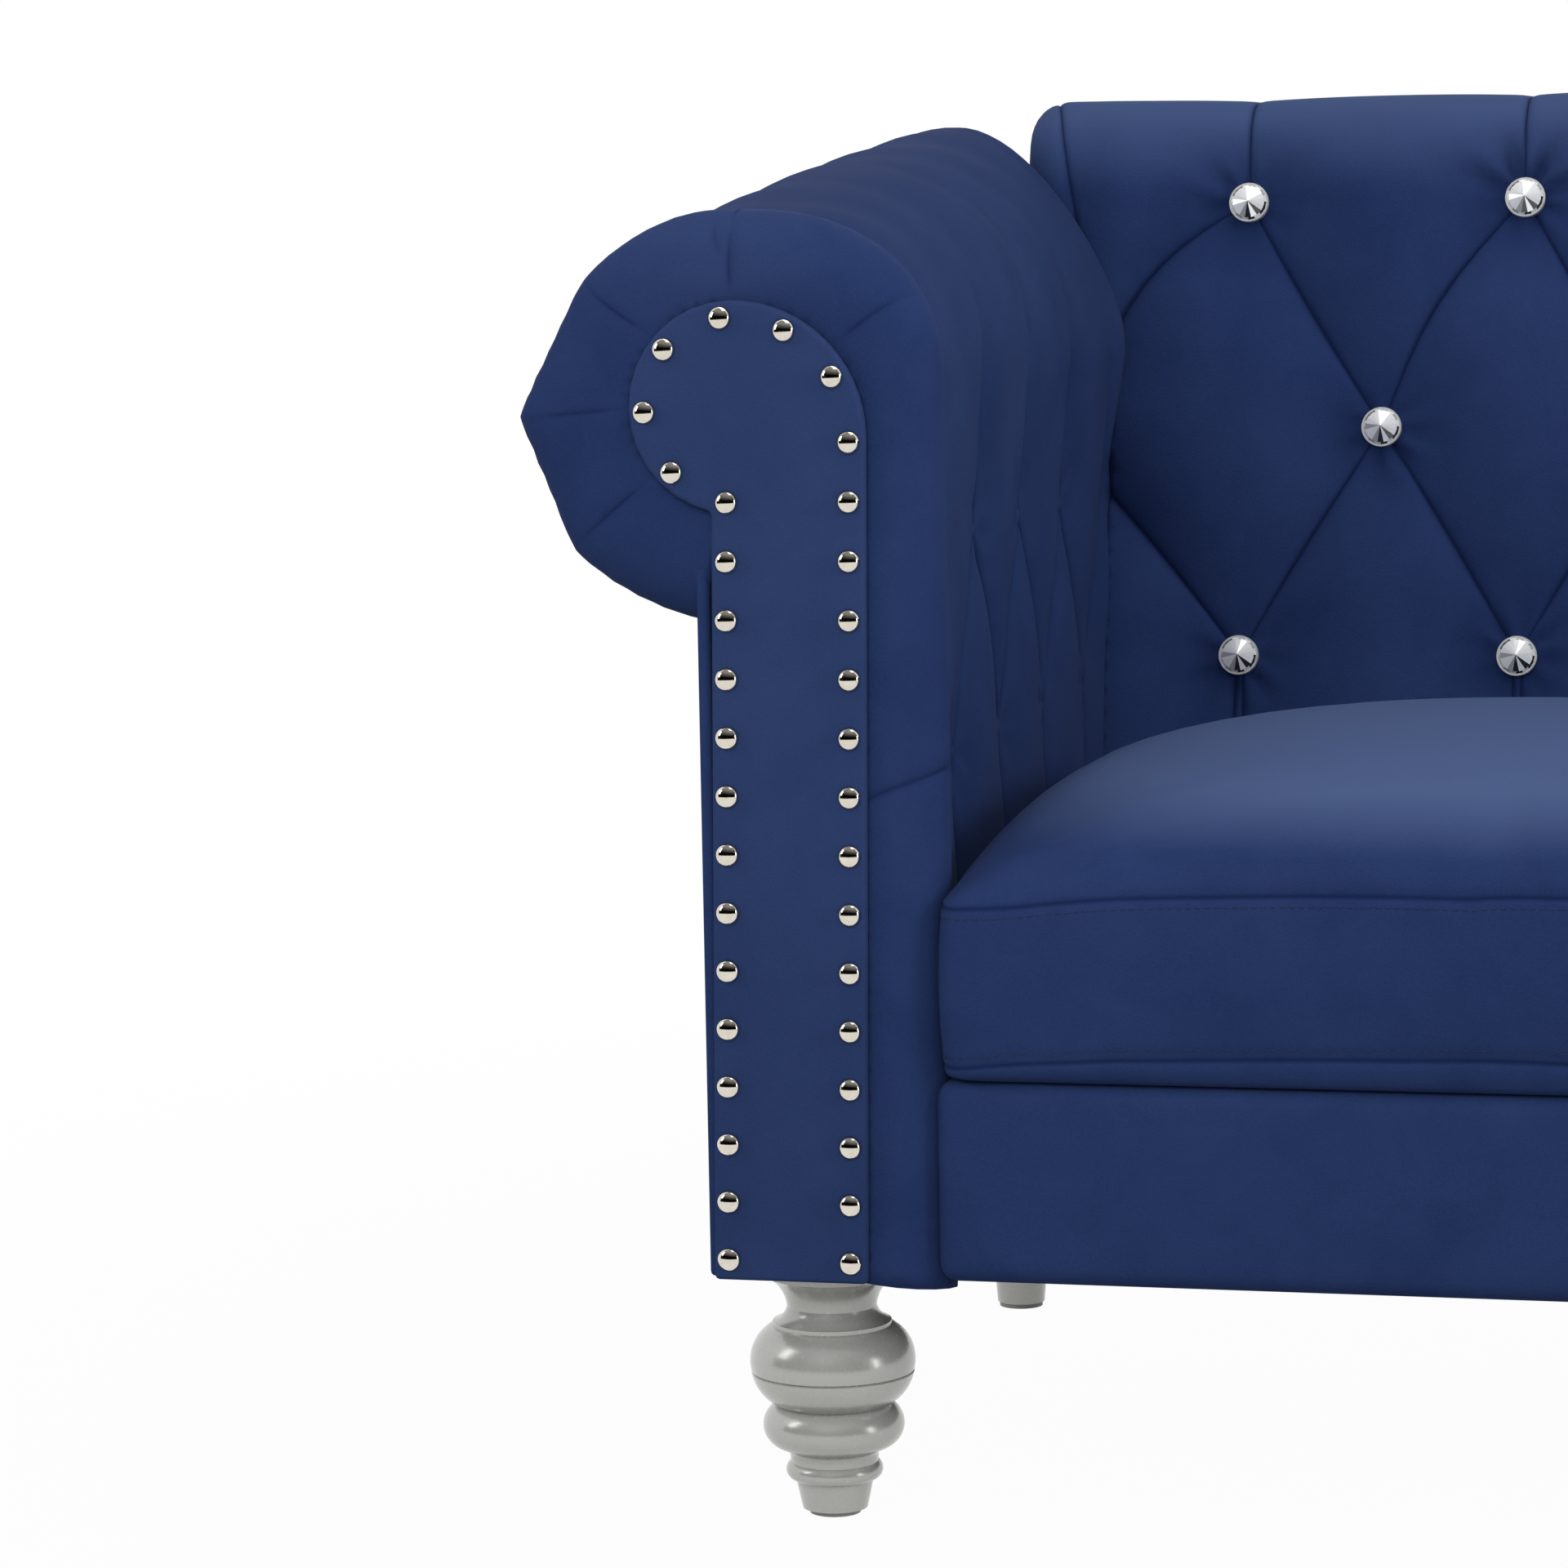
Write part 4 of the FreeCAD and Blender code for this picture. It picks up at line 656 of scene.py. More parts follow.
def arm_surface(flat):
    v, t = flat[:, 0], flat[:, 1]
    step = 0.5
    base = arm_skin(v, t)
    dv = arm_skin(v + step, t) - arm_skin(v - step, t)
    dt = arm_skin(v, np.clip(t + step, 0, END_T)) - arm_skin(v, np.clip(t - step, 0, END_T))
    normal = np.cross(dv, dt)
    normal = normal / np.maximum(np.linalg.norm(normal, axis=1), 1e-9)[:, None]
    # Tufts inside, easing out over the roll; radial pleats round the front edge.
    full, nearest = plump(flat, arm_folds, ARM_SOFT)
    tufts = ease(v, 70, 50)
    over = ease(t, at_z(HIGH_Z) + 15, 130)
    amount = ARM_FULL * (1 - over)
    rise = (amount * full - amount) * tufts - np.exp(-nearest / 4.0) * (1 - tufts)
    pleats, pleat_near = plump(flat, front_pleats, PLEAT_SOFT)
    front = np.clip((LIP * 1.1 - v) / (LIP * 0.6), 0, 1) * np.clip(v / 12, 0, 1)
    rise += (pleats - 1) * PLEAT_DIP * front
    # The knuckle of the roll: cloth sags between the pleats and stands up at the outermost one.
    corner = np.zeros(len(flat))
    stops = np.array([at_angle(a) for a in FRONT_PLEATS] + [END_T])
    for a, b, sag in zip(stops[:-1], stops[1:], PLEAT_SAG):
        corner += sag * np.sin(np.pi * ease(t, a, b - a)) * ((t > a) & (t < b))
    knuckle = np.clip(v / LIP, 0, 1) * np.clip((LIP + KNUCKLE - v) / KNUCKLE, 0, 1)
    rise += (np.interp(t, [at_angle(75), *stops[1:4]], KNUCKLE_RISE) + corner) * knuckle
    # Fullness along the top of the roll, settling where the rear board takes over.
    wide_in = np.where(t < at_angle(CREST_AT), np.interp(v, [LIP, arm_end], [62, 120]), 62.0)
    crest = np.interp(v, [0, LIP, LIP + 60, LIP + 250, arm_end], [0, 0.5, 0.9, 1.25, 1.0])
    settle = np.clip((arm_end - v) / SETTLE, 0, 1)
    rise += CREST * crest * settle * (2 - settle) * np.exp(-((t - at_angle(CREST_AT)) / wide_in) ** 2)
    rise += SWELL_FRONT * np.sin(np.pi * np.clip(v / (LIP * 1.5), 0, 1))
    slit = np.minimum(nearest + 12 * over, np.where(front > 0.05, pleat_near + 6 * (1 - front), 1e9))
    open_edge = np.clip(v / 6, 0, 1) * np.clip((arm_end - v) / 10, 0, 1)
    rise -= SLIT * 0.8 * np.exp(-slit / 1.5) * open_edge * (0.45 + 0.55 * tufts)
    rise += gathers(flat, high_tufts + low_tufts, *ARM_TUCKS) * tufts
    slack = np.sin(v / 19 + 2.1 * np.sin(t / 47)) * np.sin(t / 38 + 1.3 * np.sin(v / 61))
    rise += 0.9 * slack * ease(v, LIP, 40) * settle
    base[:, 2] -= HEM_DROP * np.clip(1 - t / HEM, 0, 1) ** 2 * np.clip(v / LIP, 0, 1)
    tail = ease(v, arm_end - TAIL, TAIL)
    rise -= TAIL * (1 - np.sqrt(np.clip(1 - tail ** 2, 0, 1)))
    # Painted shade on the inner shoulder of the roll and inside the slits and pleats; a painted sheen along
    # the top of the roll near its front.
    inner_roll_shade = np.interp(t, [CURVE_T + 20, CURVE_T + 70, ROLL_T, ROLL_T + 40], [0, 1, 1, 0])
    inner_roll_shade = INNER_ROLL_SHADE * inner_roll_shade * ease(v, LIP, 40)
    marks = {"painted_shade": np.maximum(np.exp(-slit / 1.4) * open_edge * (0.5 + 0.3 * tufts), inner_roll_shade),
             "nap_and_painted_sheen": 0.14 * np.exp(-((t - at_angle(90)) / 60) ** 2) * np.clip(2 - v / LIP, 0, 1)}
    return (base + normal * rise[:, None]) * MM, marks


seat_t, rail_v = at_z(seat_top - DECK_TUCK), at_y(RAIL_DEPTH)
arm_outline = [(0, 0), (rail_v, 0), (rail_v, seat_t), (arm_end, seat_t), (arm_end, END_T), (0, END_T)]
for name, side in SIDES:
    arm = tufted("scroll_arm_" + name, arm_outline, arm_folds, low_tufts + high_tufts, arm_surface,
                 front_pleats, flip=side > 0)
    thicken(arm, ARM_SKIN)
    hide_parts("arm_roll_pad_" + name, "arm_inside_pad_" + name)
dress(["arm_buttons_left", "arm_buttons_right"], velvet)

# Outside and rear of each arm: boards covered in plain velvet over thin wadding. They close the
# arm and are tacked on last, under the roll and behind it.
WAD, CAP_IN, UNDER_ROLL = 0.0035, 67.0, 0.071
for name, side in SIDES:
    low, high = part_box("arm_outside_panel_" + name)
    outline = [(low.y, low.z), (high.y, low.z), (high.y, high.z), (low.y, ROLL_Z * MM - UNDER_ROLL)]
    panel("arm_outside_" + name, "arm_outside_panel_" + name, outline, 0, high.x if side < 0 else low.x,
          side * (high.x - low.x + WAD), 0.003)
    low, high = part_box("arm_rear_panel_" + name)
    cap_r = ROLL_R * 0.9
    first = math.degrees(math.atan2(-math.sqrt(cap_r ** 2 - CAP_IN ** 2), -CAP_IN)) + 360
    last = math.degrees(math.asin((PANEL_U - ROLL_U) / cap_r)) - 90
    ring = [(PANEL_U, FLOOR_Z), (ROLL_U - CAP_IN, FLOOR_Z)]
    ring += arc(ROLL_U, high.z / MM - cap_r, cap_r, first, last)
    ring = [(side * u * MM, z * MM) for u, z in ring]
    panel("arm_rear_" + name, "arm_rear_panel_" + name, ring, 1, low.y, high.y - low.y, 0.002)

# Facing: a keyhole-shaped board covered in flat velvet, with a painted sheen that makes it a little paler
# towards the head, where more light falls. It is nailed over the tucked-in cover.
COLUMN = 84.7


def facing_line(inset, bottom):
    # From the outer bottom corner, up and round the head, down to the inner one.
    left = FACE_IN + COLUMN - inset
    right = FACE_IN + inset
    neck = -math.degrees(math.acos((left - HEAD_U) / (HEAD_R - inset)))
    line = [(left + LEAN, bottom)]
    line += arc(HEAD_U, HEAD_Z, HEAD_R - inset, neck, 90)
    line += arc(HEAD_U, BOW_Z, BOW_R - inset, 90, 180)[1:]
    return line + [(right + LEAN, bottom)]


for name, side in SIDES:
    low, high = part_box("arm_front_panel_" + name)
    outline = [(side * u * MM, z * MM) for u, z in facing_line(0.0, FLOOR_Z)]
    facing = panel("arm_facing_" + name, "arm_front_panel_" + name, outline, 1, low.y, high.y - low.y, 0.0028)
    # Painted sheen: paler with height.
    facing_sheen = facing.data.attributes.new("nap_and_painted_sheen", "FLOAT", "POINT").data
    facing_sheen.foreach_set("value", [0.08 + 0.1 * ease(v.co.z, 0.2, 0.35) for v in facing.data.vertices])

# Nailheads: pressed steel domes on short shanks, driven in a row round the facing.
# Polished nickel: bright and faintly warm, with a light haze of handling.
NAIL_INSET, NAIL_D, NAIL_RISE = 8.8, 13.0, 4.6
NAIL_GAP, OUTER_NAILS, HEAD_NAILS, INNER_NAILS = 31.4, 14, 6, 15
nickel, tree, shader, haze = finish_of("polished_nickel", ("#cfc6b6", "#e6e1d8"), "Noise", 0.004,
                                       {"Detail": 3.0}, Metallic=1.0, Roughness=0.09)
polish = add(tree, "ShaderNodeMapRange", {"Value": haze.outputs["Fac"], "To Min": 0.06, "To Max": 0.14})
tree.links.new(polish.outputs[0], shader.inputs["Roughness"])


def tree_with(name, sizes, kinds=()):
    # A node tree with named inputs; each is a length unless its kind is given.
    made = bpy.data.node_groups.new(name, "GeometryNodeTree")
    made.interface.new_socket("Geometry", in_out="INPUT", socket_type="NodeSocketGeometry")
    for label in sizes:
        kind = "NodeSocketInt" if label in kinds else "NodeSocketFloat"
        made.interface.new_socket(label, in_out="INPUT", socket_type=kind)
    made.interface.new_socket("Geometry", in_out="OUTPUT", socket_type="NodeSocketGeometry")
    return made, made.nodes.new("NodeGroupInput").outputs, made.nodes.new("NodeGroupOutput")


def end_in(tree, end, instances, material, smooth=True):
    # Ends a tree with real geometry in its finish.
    last = add(tree, "GeometryNodeRealizeInstances", {"Geometry": instances})
    if smooth:
        last = add(tree, "GeometryNodeSetShadeSmooth", {"Geometry": last.outputs["Geometry"]})
    last = add(tree, "GeometryNodeSetMaterial", {"Geometry": last.outputs["Geometry"], "Material": material})
    tree.links.new(last.outputs["Geometry"], end.inputs["Geometry"])


def line_object(name, lines, closed=False):
    curve = bpy.data.curves.new(name, "CURVE")
    curve.dimensions = "3D"
    for line in lines:
        spline = curve.splines.new("POLY")
        spline.points.add(len(line) - 1)
        for spot, p in zip(spline.points, line):
            spot.co = (*p, 1.0)
        spline.use_cyclic_u = closed
    return put(name, curve)


def grown(name, line, group, values, body="frame"):
    # Runs a node tree on a line and keeps the result as a plain mesh.
    grow = line.modifiers.new(name, "NODES")
    grow.node_group = group
    for socket in group.interface.items_tree:
        if socket.in_out == "INPUT" and socket.name in values:
            grow[socket.identifier] = values[socket.name]
    graph = bpy.context.evaluated_depsgraph_get()
    mesh = bpy.data.meshes.new_from_object(line.evaluated_get(graph))
    bpy.data.objects.remove(line)
    return put(name, mesh, body)


nails, start, end = tree_with("nails_along_line", ("Radius", "Rise"))
spots = add(nails, "GeometryNodeCurveToPoints", {"Curve": start["Geometry"]}, mode="EVALUATED")
ball = add(nails, "GeometryNodeMeshUVSphere", {"Segments": 20, "Rings": 14, "Radius": 1.0})
flat = add(nails, "ShaderNodeCombineXYZ", {"X": start["Radius"], "Y": start["Rise"], "Z": start["Radius"]})
dome = add(nails, "GeometryNodeInstanceOnPoints", {"Points": spots.outputs["Points"],
                                                   "Instance": ball.outputs["Mesh"],
                                                   "Scale": flat.outputs["Vector"]})
end_in(nails, end, dome.outputs["Instances"], nickel)
track = np.array(facing_line(NAIL_INSET, FLOOR_Z + NAIL_D * 0.9))
walked = np.concatenate([[0], np.cumsum(np.linalg.norm(np.diff(track, axis=0), axis=1))])
outer = NAIL_GAP * np.arange(OUTER_NAILS)
inner = walked[-1] - NAIL_GAP * np.arange(INNER_NAILS)[::-1]
head = np.linspace(outer[-1], inner[0], HEAD_NAILS + 2)[1:-1]
places = np.concatenate([outer, head, inner])
for name, side in SIDES:
    spots = [(side * np.interp(p, walked, track[:, 0]) * MM, FRONT_Y * MM,
              np.interp(p, walked, track[:, 1]) * MM) for p in places]
    heads = grown("nickel_nailheads_" + name, line_object("nail_line", [spots]), nails,
                  {"Radius": NAIL_D / 2 * MM, "Rise": NAIL_RISE * MM})
    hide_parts("nailheads_" + name)

# Front border: a strip of velvet over wadding along the front rail, with rounded edges,
# tacked under the rail and under the front of the deck.
low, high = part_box("front_border")
border = soft_board("padded_front_border", low, high, 0.010, 0.002, cells=(60, 6, 16))
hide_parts("front_border")

# Seat cushions: loose boxed cushions of foam and fibre. The plain top is crowned, the boxing
# swells between its two seams, and a row of stitching runs along each seam.
CUSHION_COLS, CORNER, BOX_ROWS = 240, 15.0, 9
CROWN, SEAM_TOP, SEAM_LOW, SWELL, BOW = 68.0, 102.0, 16.0, 4.0, 10.0
SIM_FRAMES, PRESSURE, MOVE_CAP, INWARD_GIVE, UP_GIVE, FRONT_GIVE = 20, 4.0, 0.012, 0.12, 0.6, 0.001
# The seams' half width and inset, the painted shade in that inset, and the span of crown fullness over which
# a painted sheen pales the top.
SEAM_HALF, SEAM_IN, SEAM_SHADE, PAINTED_SHEEN_SPAN = 0.0022, 0.0012, 0.7, [0.35, 0.64]
crown_rows = [0.995, 0.985, 0.97, 0.95, 0.925, 0.89, 0.85, 0.8, 0.74, 0.66, 0.57, 0.48, 0.38, 0.28,
              0.18, 0.08]
base_rows = [0.06, 0.2, 0.4, 0.6, 0.75, 0.87, 0.95, 0.978]
base_edge = [(0.988, 0.1), (0.996, 0.34), (0.999, 0.66)]


def rounded_rectangle(half_w, half_d, corner, count):
    line = []
    for cx, cy, first in ((1, 1, 0), (-1, 1, 90), (-1, -1, 180), (1, -1, 270)):
        line += [(cx * (half_w - corner) + x, cy * (half_d - corner) + y)
                 for x, y in arc(0, 0, corner, first, first + 90)]
    line = np.array(line + [line[0]])
    length = np.linalg.norm(np.diff(line, axis=0), axis=1).sum()
    return along(line, length / count - 1e-6)[:-1]


def fullness(share):
    # Height of the crown over a cushion, 0 along its edge and 1 in the middle.
    return np.sqrt(np.prod(1 - np.minimum(np.abs(share), 1) ** 2.4, axis=1))


def cushion_rings(low, high):
    # Rings of points from the middle of the base, up the boxing, to the middle of the crown.
    middle = (low + high) / 2
    half_w, half_d = (high.x - low.x) / 2 / MM - SWELL, (high.y - low.y) / 2 / MM - SWELL
    edge = rounded_rectangle(half_w, half_d, CORNER, CUSHION_COLS)
    side_x, side_y = np.abs(edge[:, 0]) / half_w, np.abs(edge[:, 1]) / half_d
    mid_front = 1 - np.minimum(side_x, side_y) ** 2
    seam_low = SEAM_LOW * (0.4 + 0.6 * mid_front)
    rings = [np.column_stack([edge * scale, np.zeros(CUSHION_COLS)]) for scale in base_rows]
    rings += [np.column_stack([edge * scale, seam_low * share]) for scale, share in base_edge]
    for k in range(BOX_ROWS):
        share = k / (BOX_ROWS - 1)
        bulge = 1 + SWELL * math.sin(math.pi * share) / half_d * (0.35 + 0.65 * mid_front)
        z = seam_low + (SEAM_TOP - seam_low) * share + BOW * (mid_front - 1) * share
        rings.append(np.column_stack([edge * bulge[:, None], z]))
    for scale in crown_rows:
        rise = CROWN * fullness(edge * scale / (half_w, half_d))
        z = SEAM_TOP + BOW * (mid_front - 1) * scale ** 4 + rise
        rings.append(np.column_stack([edge * scale, z]))
    return np.array(rings) * MM + np.array([middle.x, middle.y, low.z])


def ring_faces(count):
    faces, ends = [], []
    last = count * CUSHION_COLS
    for c in range(CUSHION_COLS):
        n = (c + 1) % CUSHION_COLS
        ends += [(n, c, last), (last - CUSHION_COLS + c, last - CUSHION_COLS + n, last + 1)]
    for r in range(0, last - CUSHION_COLS, CUSHION_COLS):
        for c in range(CUSHION_COLS):
            n = (c + 1) % CUSHION_COLS
            faces.append((r + c, r + n, r + CUSHION_COLS + n, r + CUSHION_COLS + c))
    return faces + ends


def inflate(rings):
    # Pressure swells the sewn cover; each point may move only as far as the cloth would give.
    flat = rings.reshape(-1, 3)
    poles = np.array([rings[0].mean(0), rings[-1].mean(0)])
    mesh = bpy.data.meshes.new("cushion_cover")
    mesh.from_pydata([tuple(p) for p in np.vstack([flat, poles])], [], ring_faces(len(rings)))
    cover = put("cushion_cover", mesh)
    cloth = cover.modifiers.new("cover", "CLOTH").settings
    cloth.use_pressure = True
    cloth.uniform_pressure_force = PRESSURE
    cloth.effector_weights.gravity = 0.0
    cloth.quality = 6
    cloth.tension_stiffness = 25.0
    cloth.compression_stiffness = 25.0
    cloth.bending_stiffness = 4.0
    for f in range(1, SIM_FRAMES + 1):
        bpy.context.scene.frame_set(f)
    graph = bpy.context.evaluated_depsgraph_get()
    shape = cover.evaluated_get(graph).to_mesh()
    co = np.empty(len(shape.vertices) * 3)
    shape.vertices.foreach_get("co", co)
    cover.evaluated_get(graph).to_mesh_clear()
    bpy.data.objects.remove(cover)
    bpy.context.scene.frame_set(1)
    moved = co.reshape(-1, 3)[:len(flat)] - flat
    far = np.linalg.norm(moved, axis=1)[:, None]
    moved = moved * np.minimum(1.0, MOVE_CAP / np.maximum(far, 1e-9))
    inward = ((flat.mean(0) - flat)[:, :2] * moved[:, :2]).sum(1) > 0
    moved[inward, :2] *= INWARD_GIVE
    moved[:, 2] *= UP_GIVE
    return (flat + moved).reshape(rings.shape)


def unit(ways):
    return ways / np.linalg.norm(ways, axis=1)[:, None]


# Polyester sewing thread: one tone darker than the pile, with a slight twist to it.
STITCH_IN, STITCH_GAP, STITCH_L, STITCH_R, STITCH_OUT = 0.0055, 0.0050, 0.0016, 0.00042, 0.0002
thread = finish_of("navy_polyester_thread", ("#131f40", "#1d2b50"), "Noise", 0.0008, Roughness=0.6)[0]
stitches, start, end = tree_with("stitches_along_seam", ("Spacing", "Thickness", "Length"))
spots = add(stitches, "GeometryNodeCurveToPoints", {"Curve": start["Geometry"], "Length": start["Spacing"]},
            mode="LENGTH")
grain = add(stitches, "GeometryNodeMeshUVSphere", {"Segments": 6, "Rings": 4, "Radius": 1.0})
shape = add(stitches, "ShaderNodeCombineXYZ", {"X": start["Thickness"], "Y": start["Thickness"],
                                               "Z": start["Length"]})
laid = add(stitches, "GeometryNodeInstanceOnPoints", {"Points": spots.outputs["Points"],
                                                      "Instance": grain.outputs["Mesh"],
                                                      "Rotation": spots.outputs["Rotation"],
                                                      "Scale": shape.outputs["Vector"]})
end_in(stitches, end, laid.outputs["Instances"], thread)
seams = [len(base_rows) + len(base_edge), len(base_rows) + len(base_edge) + BOX_ROWS - 1]
for name in ("left", "right"):
    low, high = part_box("seat_cushion_" + name)
    rings = cushion_rings(low, high)
    rings = inflate(rings)
    rings[..., 0] = np.clip(rings[..., 0], low.x, high.x)
    rings[..., 1] = np.clip(rings[..., 1], low.y - FRONT_GIVE, high.y)
    rings[..., 2] = np.maximum(rings[..., 2], low.z)
    rings[:len(base_rows), :, 2] = low.z
    full, marks, painted_sheen_rows = [], [], []
    for k, ring in enumerate(rings):
        spread = (ring - (low + high) / 2)[:, :2] / np.array((high - low) / 2)[:2]
        # Painted sheen: the crown is paler towards its middle, where the light falls on it.
        nap_and_painted_sheen = np.interp(fullness(spread), PAINTED_SHEEN_SPAN, [0.0, 1.0]) * (k > seams[1])
        painted_sheen_rows += [nap_and_painted_sheen] * (3 if k in seams else 1)
        if k in seams:
            full += [ring - unit(ring - rings[k - 1]) * SEAM_HALF, ring + unit(ring.mean(0) - ring) * SEAM_IN,
                     ring + unit(rings[k + 1] - ring) * SEAM_HALF]
            # The inset row of each seam carries painted shade.
            marks += [0.0, SEAM_SHADE, 0.0]
        else:
            full.append(ring)
            marks.append(0.0)
    full = np.array(full)
    points = np.vstack([full.reshape(-1, 3), full[0].mean(0), full[-1].mean(0)])
    marks = {"painted_shade": np.concatenate([np.repeat(marks, CUSHION_COLS), [0.0, 0.0]]),
             "nap_and_painted_sheen": np.concatenate([*painted_sheen_rows, [0.0, 1.0]])}
    mesh = smooth_mesh("velvet_cushion_" + name, points, ring_faces(len(full)), velvet, marks)
    cushion = put("velvet_cushion_" + name, mesh, "cushion_" + name)
    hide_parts("seat_cushion_" + name)
    sewn_lines = []
    for k, way in ((seams[0], 1), (seams[1], -1)):
        line = rings[k] + unit(rings[k + way] - rings[k]) * STITCH_IN
        out = (line - line.mean(0)) * (1, 1, 0)
        sewn_lines.append(line + unit(out) * STITCH_OUT)
    sewn = grown("cushion_stitching_" + name, line_object("seam_line", sewn_lines, True), stitches,
                 {"Spacing": STITCH_GAP, "Thickness": STITCH_R, "Length": STITCH_L}, "cushion_" + name)

# Legs: turned front legs and tapered rear legs, sanded, primed and sprayed with satin silver
# lacquer, which shows the brushed grain of the wood faintly. Each stands on a nylon glide.
silver, tree, shader, pores = finish_of("silver_lacquered_wood", ("#aaaaa6", "#b2b2ae"), "Noise", 0.0025,
                                        {"Detail": 5.0, "Roughness": 0.65}, Metallic=0.3, Roughness=0.26,
                                        Coat_Weight=0.5, Coat_Roughness=0.16)
place = add(tree, "ShaderNodeTexCoord")
stretch = add(tree, "ShaderNodeMapping", {"Vector": place.outputs["Object"], "Scale": (1, 1, 0.6)})
tree.links.new(stretch.outputs["Vector"], pores.inputs["Vector"])
gloss = add(tree, "ShaderNodeMapRange", {"Value": pores.outputs["Fac"], "To Min": 0.2, "To Max": 0.32})
tree.links.new(gloss.outputs[0], shader.inputs["Roughness"])
dress(["front_leg_left", "front_leg_right", "rear_leg_left", "rear_leg_right"], silver)
# Moulded nylon: plain grey, scuffed a little by the floor.
nylon = finish_of("grey_nylon", ("#a0a09b", "#8f8f8b"), "Noise", 0.002, Roughness=0.5)[0]
dress(["leg_glides"], nylon)

# Crystal buttons: round stones of cut glass, foiled behind, set in a thin silvered cup at each tuft. Each
# facet's colour is a painted reflection, bright, grey or nearly black at random, under a clear gloss.
crystal, tree, shader = finish_of("foiled_crystal", Metallic=0.3, Roughness=0.05, Coat_Weight=1.0,
                                  Coat_Roughness=0.02)
# Painted reflection: each facet's tone is one of three, picked at random.
painted_facet_glint = add(tree, "ShaderNodeAttribute", attribute_name="painted_facet_glint")
tone = add(tree, "ShaderNodeValToRGB", {"Fac": painted_facet_glint.outputs["Fac"]})
ramp = tone.color_ramp
ramp.interpolation = "CONSTANT"
ramp.elements[0].color = linear("#2b2d30")
ramp.elements[1].color = linear("#f6f8fa")
ramp.elements[1].position = 0.45
ramp.elements.new(0.2).color = linear("#b0b2b4")
tree.links.new(tone.outputs["Color"], shader.inputs["Base Color"])
STONE_R, STAR_R, STONE_RISE, POINT_RISE, FACETS, SEAT_RISE = 12.2, 10.2, 2.6, 4.2, 16, 3.4
stones, start, end = tree_with("cut_stones", ("Girdle", "Star", "Crown", "Point", "Facets", "Tilt"),
                               ("Facets",))
girdle = add(stones, "GeometryNodeMeshCone", {"Vertices": start["Facets"], "Radius Top": start["Star"],
                                              "Radius Bottom": start["Girdle"], "Depth": start["Crown"]})
point = add(stones, "GeometryNodeMeshCone", {"Vertices": start["Facets"], "Radius Top": 0.0,
                                             "Radius Bottom": start["Star"], "Depth": start["Point"]})
half_turn = add(stones, "ShaderNodeMath", {0: math.pi, 1: start["Facets"]}, operation="DIVIDE")
spin = add(stones, "ShaderNodeCombineXYZ", {"Z": half_turn.outputs[0]})
lift = add(stones, "ShaderNodeCombineXYZ", {"Z": start["Crown"]})
point = add(stones, "GeometryNodeTransform", {"Geometry": point.outputs["Mesh"],
                                              "Rotation": spin.outputs["Vector"],
                                              "Translation": lift.outputs["Vector"]})
both = add(stones, "GeometryNodeJoinGeometry", {"Geometry": girdle.outputs["Mesh"]})
stones.links.new(point.outputs["Geometry"], both.inputs["Geometry"])
# A random painted reflection for each facet.
spark = add(stones, "FunctionNodeRandomValue", {"Seed": 5}, data_type="FLOAT")
stone = add(stones, "GeometryNodeStoreNamedAttribute",
            {"Geometry": both.outputs["Geometry"], "Name": "painted_facet_glint", "Value": spark.outputs[1]},
            data_type="FLOAT", domain="FACE")
tilt = add(stones, "ShaderNodeCombineXYZ", {"X": start["Tilt"]})
laid = add(stones, "GeometryNodeInstanceOnPoints", {"Points": start["Geometry"],
                                                    "Instance": stone.outputs["Geometry"],
                                                    "Rotation": tilt.outputs["Vector"]})
end_in(stones, end, laid.outputs["Instances"], crystal, smooth=False)
out_y, out_z = -1 / slope * SEAT_RISE, RAKE / slope * SEAT_RISE
seats = [(x * MM, (back_fold(seat_top + s / slope) + out_y) * MM, (seat_top + s / slope + out_z) * MM)
         for x, s in back_buttons]
mesh = bpy.data.meshes.new("button_seats")
mesh.from_pydata(seats, [], [])
gems = grown("crystal_buttons", put("button_seats", mesh), stones,
             {"Girdle": STONE_R * MM, "Star": STAR_R * MM, "Crown": STONE_RISE * MM, "Point": POINT_RISE * MM,
              "Facets": FACETS, "Tilt": math.pi / 2 - math.atan(RAKE)})
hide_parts("crystal_stones")
# Silvered cup: thin pressed brass, plated in satin silver, pale with a soft sheen.
silvered = finish_of("satin_silver_plate", ("#d2d2cf", "#e6e6e4"), "Noise", 0.002, Metallic=0.5,
                     Roughness=0.35)[0]
dress(["crystal_cups"], silvered)


# Studio: a pale floor that takes a soft shadow under an even white surround. Two narrow softboxes
# and a lamp overhead give the gloss; three broad fills, unseen by gloss, even out the cloth.
def seen_plainly(tree):
    # 1 for what the camera sees, also by way of gloss or glass.
    rays = add(tree, "ShaderNodeLightPath").outputs
    both = add(tree, "ShaderNodeMath", {0: rays["Is Camera Ray"], 1: rays["Is Glossy Ray"]},
               operation="MAXIMUM")
    both = add(tree, "ShaderNodeMath", {0: both.outputs[0], 1: rays["Is Transmission Ray"]},
               operation="MAXIMUM")
    return both.outputs[0]


def stand(name, points, faces, material):
    mesh = bpy.data.meshes.new(name)
    mesh.from_pydata(points, [], faces)
    mesh.materials.append(material)
    made = put(name, mesh)
    return made


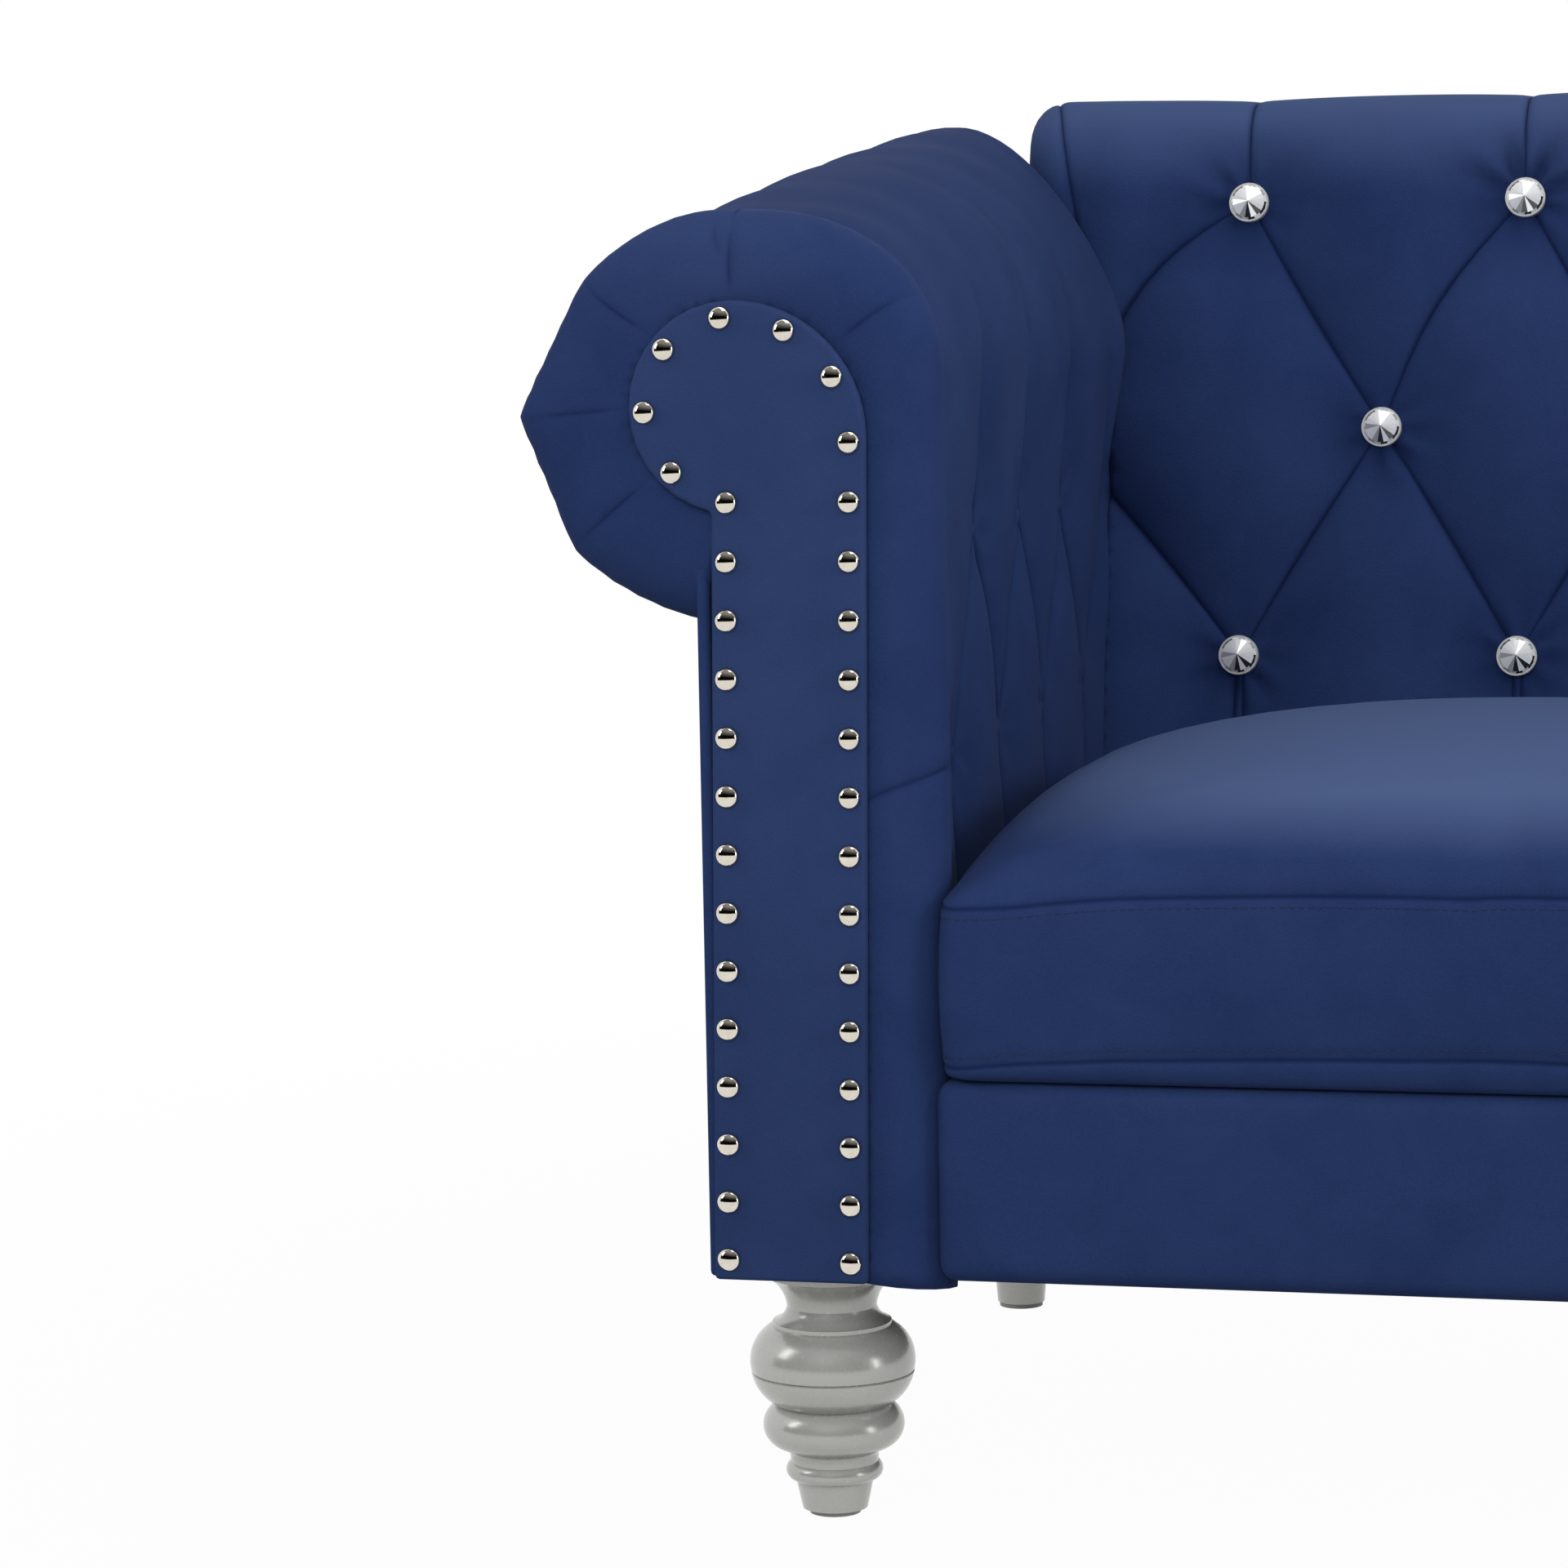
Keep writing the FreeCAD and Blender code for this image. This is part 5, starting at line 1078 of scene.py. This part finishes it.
FLOOR_SIZE = 30.0
floor_mat, tree, shader = finish_of("pale_floor", Roughness=0.9, Base_Color=linear("#a8a8a8"))
glow = add(tree, "ShaderNodeEmission", {"Color": (1, 1, 1, 1), "Strength": 1.0})
place = add(tree, "ShaderNodeTexCoord")
far = add(tree, "ShaderNodeVectorMath", {0: place.outputs["Object"]}, operation="LENGTH")
fade = add(tree, "ShaderNodeMapRange", {"Value": far.outputs["Value"], "From Min": 0.9, "From Max": 2.2,
                                        "To Min": 0.97, "To Max": 1.0})
share = add(tree, "ShaderNodeMath", {0: seen_plainly(tree), 1: fade.outputs[0]}, operation="MULTIPLY")
mixed = add(tree, "ShaderNodeMixShader", {0: share.outputs[0], 1: shader.outputs[0], 2: glow.outputs[0]})
tree.links.new(mixed.outputs[0], tree.nodes["Material Output"].inputs["Surface"])
stand("floor", [(x * FLOOR_SIZE, y * FLOOR_SIZE, 0) for x, y in ((-1, -1), (1, -1), (1, 1), (-1, 1))],
      [(0, 1, 2, 3)], floor_mat)

world = bpy.data.worlds.new("studio")
bpy.context.scene.world = world
world.use_nodes = True
tree = world.node_tree
sky = tree.nodes["Background"]
sky.inputs["Color"].default_value = (1, 1, 1, 1)
level = add(tree, "ShaderNodeMapRange", {"Value": seen_plainly(tree), "To Min": 0.54, "To Max": 1.0})
tree.links.new(level.outputs[0], sky.inputs["Strength"])

for name, at, target, width, height, watts, mirrored in (
        ("left_softbox", (-2.4, -1.1, 1.35), (-0.6, -0.3, 0.2), 0.5, 1.0, 7.5, True),
        ("right_softbox", (2.5, -1.1, 0.8), (-0.5, -0.4, 0.1), 0.45, 1.3, 10, True),
        ("overhead", (-0.35, -0.2, 2.2), (-0.1, 0.0, 0.4), 1.6, 0.9, 8.5, True),
        ("right_fill", (3.0, -0.5, 1.6), (-0.5, 0.0, 0.5), 1.4, 1.2, 46, False),
        ("front_fill", (-0.65, -2.4, 1.3), (-0.6, -0.3, 0.5), 1.6, 1.2, 24, False),
        ("rear_fill", (0.4, 3.4, 1.9), (0.0, 0.0, 0.4), 2.0, 1.4, 40, False)):
    light = bpy.data.lights.new(name, "AREA")
    light.shape = "RECTANGLE"
    light.size, light.size_y = width, height
    light.energy = watts
    lamp = put(name, light)
    lamp.location = at
    lamp.rotation_mode = "QUATERNION"
    lamp.rotation_quaternion = (Vector(target) - Vector(at)).to_track_quat("-Z", "Y")
    lamp.visible_camera = False
    lamp.visible_glossy = mirrored

# Dark flag: a curved wall and canopy of black flock round the front of the set, with a painted glow that
# grows with height. Polished metal and crystal show it as a dark band; it takes no light from the cloth.
FLAG_R, FLAG_TOP, FLAG_STEPS = 4.8, 5.5, 24
flock, tree, shader = finish_of("black_flock", Roughness=1.0, Base_Color=linear("#0d0d0e"),
                                Specular_IOR_Level=0.0, Emission_Color=(1, 1, 1, 1))
place = add(tree, "ShaderNodeTexCoord")
rise = add(tree, "ShaderNodeSeparateXYZ", {"Vector": place.outputs["Object"]})
# Painted glow, stronger with height.
glow_with_height = add(tree, "ShaderNodeMapRange", {"Value": rise.outputs["Z"], "From Min": 1.6, "From Max": 6.5,
                                         "To Min": 0.0, "To Max": 0.35})
tree.links.new(glow_with_height.outputs[0], shader.inputs["Emission Strength"])
turns = np.radians(np.linspace(-165, -15, FLAG_STEPS + 1))
ring = [(FLAG_R * math.cos(t), FLAG_R * math.sin(t), z) for z in (0.01, FLAG_TOP) for t in turns]
row, apex = FLAG_STEPS + 1, len(ring)
panels = [(k + 1, k, k + row, k + row + 1) for k in range(FLAG_STEPS)]
panels += [(k + row + 1, k + row, apex) for k in range(FLAG_STEPS)]
flag = stand("flag", ring + [(0, 0.4, FLAG_TOP + 1.0)], panels, flock)
flag.visible_camera = flag.visible_diffuse = flag.visible_shadow = False

# Camera: in front of the seat's middle, a little lower than the top of the back, turned to the
# left arm as the photograph is framed. Its lens is given in pixels of the square picture.
CAMERA_AT = (-0.0085, -2.9766, 0.7125)
YAW, PITCH_DOWN, ROLL = 0.252, 0.1124, -0.0189
LENS_PX, FRAME_PX, SENSOR = 6209.0, 1920.0, 36.0
along_floor = math.cos(PITCH_DOWN)
ahead = Vector((-math.sin(YAW) * along_floor, math.cos(YAW) * along_floor, -math.sin(PITCH_DOWN)))
right = Vector((math.cos(YAW), math.sin(YAW), 0))
upward = right.cross(ahead)
turned = right * math.cos(ROLL) + upward * math.sin(ROLL)
upward = upward * math.cos(ROLL) - right * math.sin(ROLL)
view = bpy.data.cameras.new("camera")
view.sensor_width = SENSOR
view.lens = SENSOR * LENS_PX / FRAME_PX
camera = put("camera", view)
camera.matrix_world = Matrix.Translation(CAMERA_AT) @ Matrix((turned, upward, -ahead)).transposed().to_4x4()
bpy.context.scene.camera = camera
bpy.context.scene.view_settings.view_transform = "Standard"
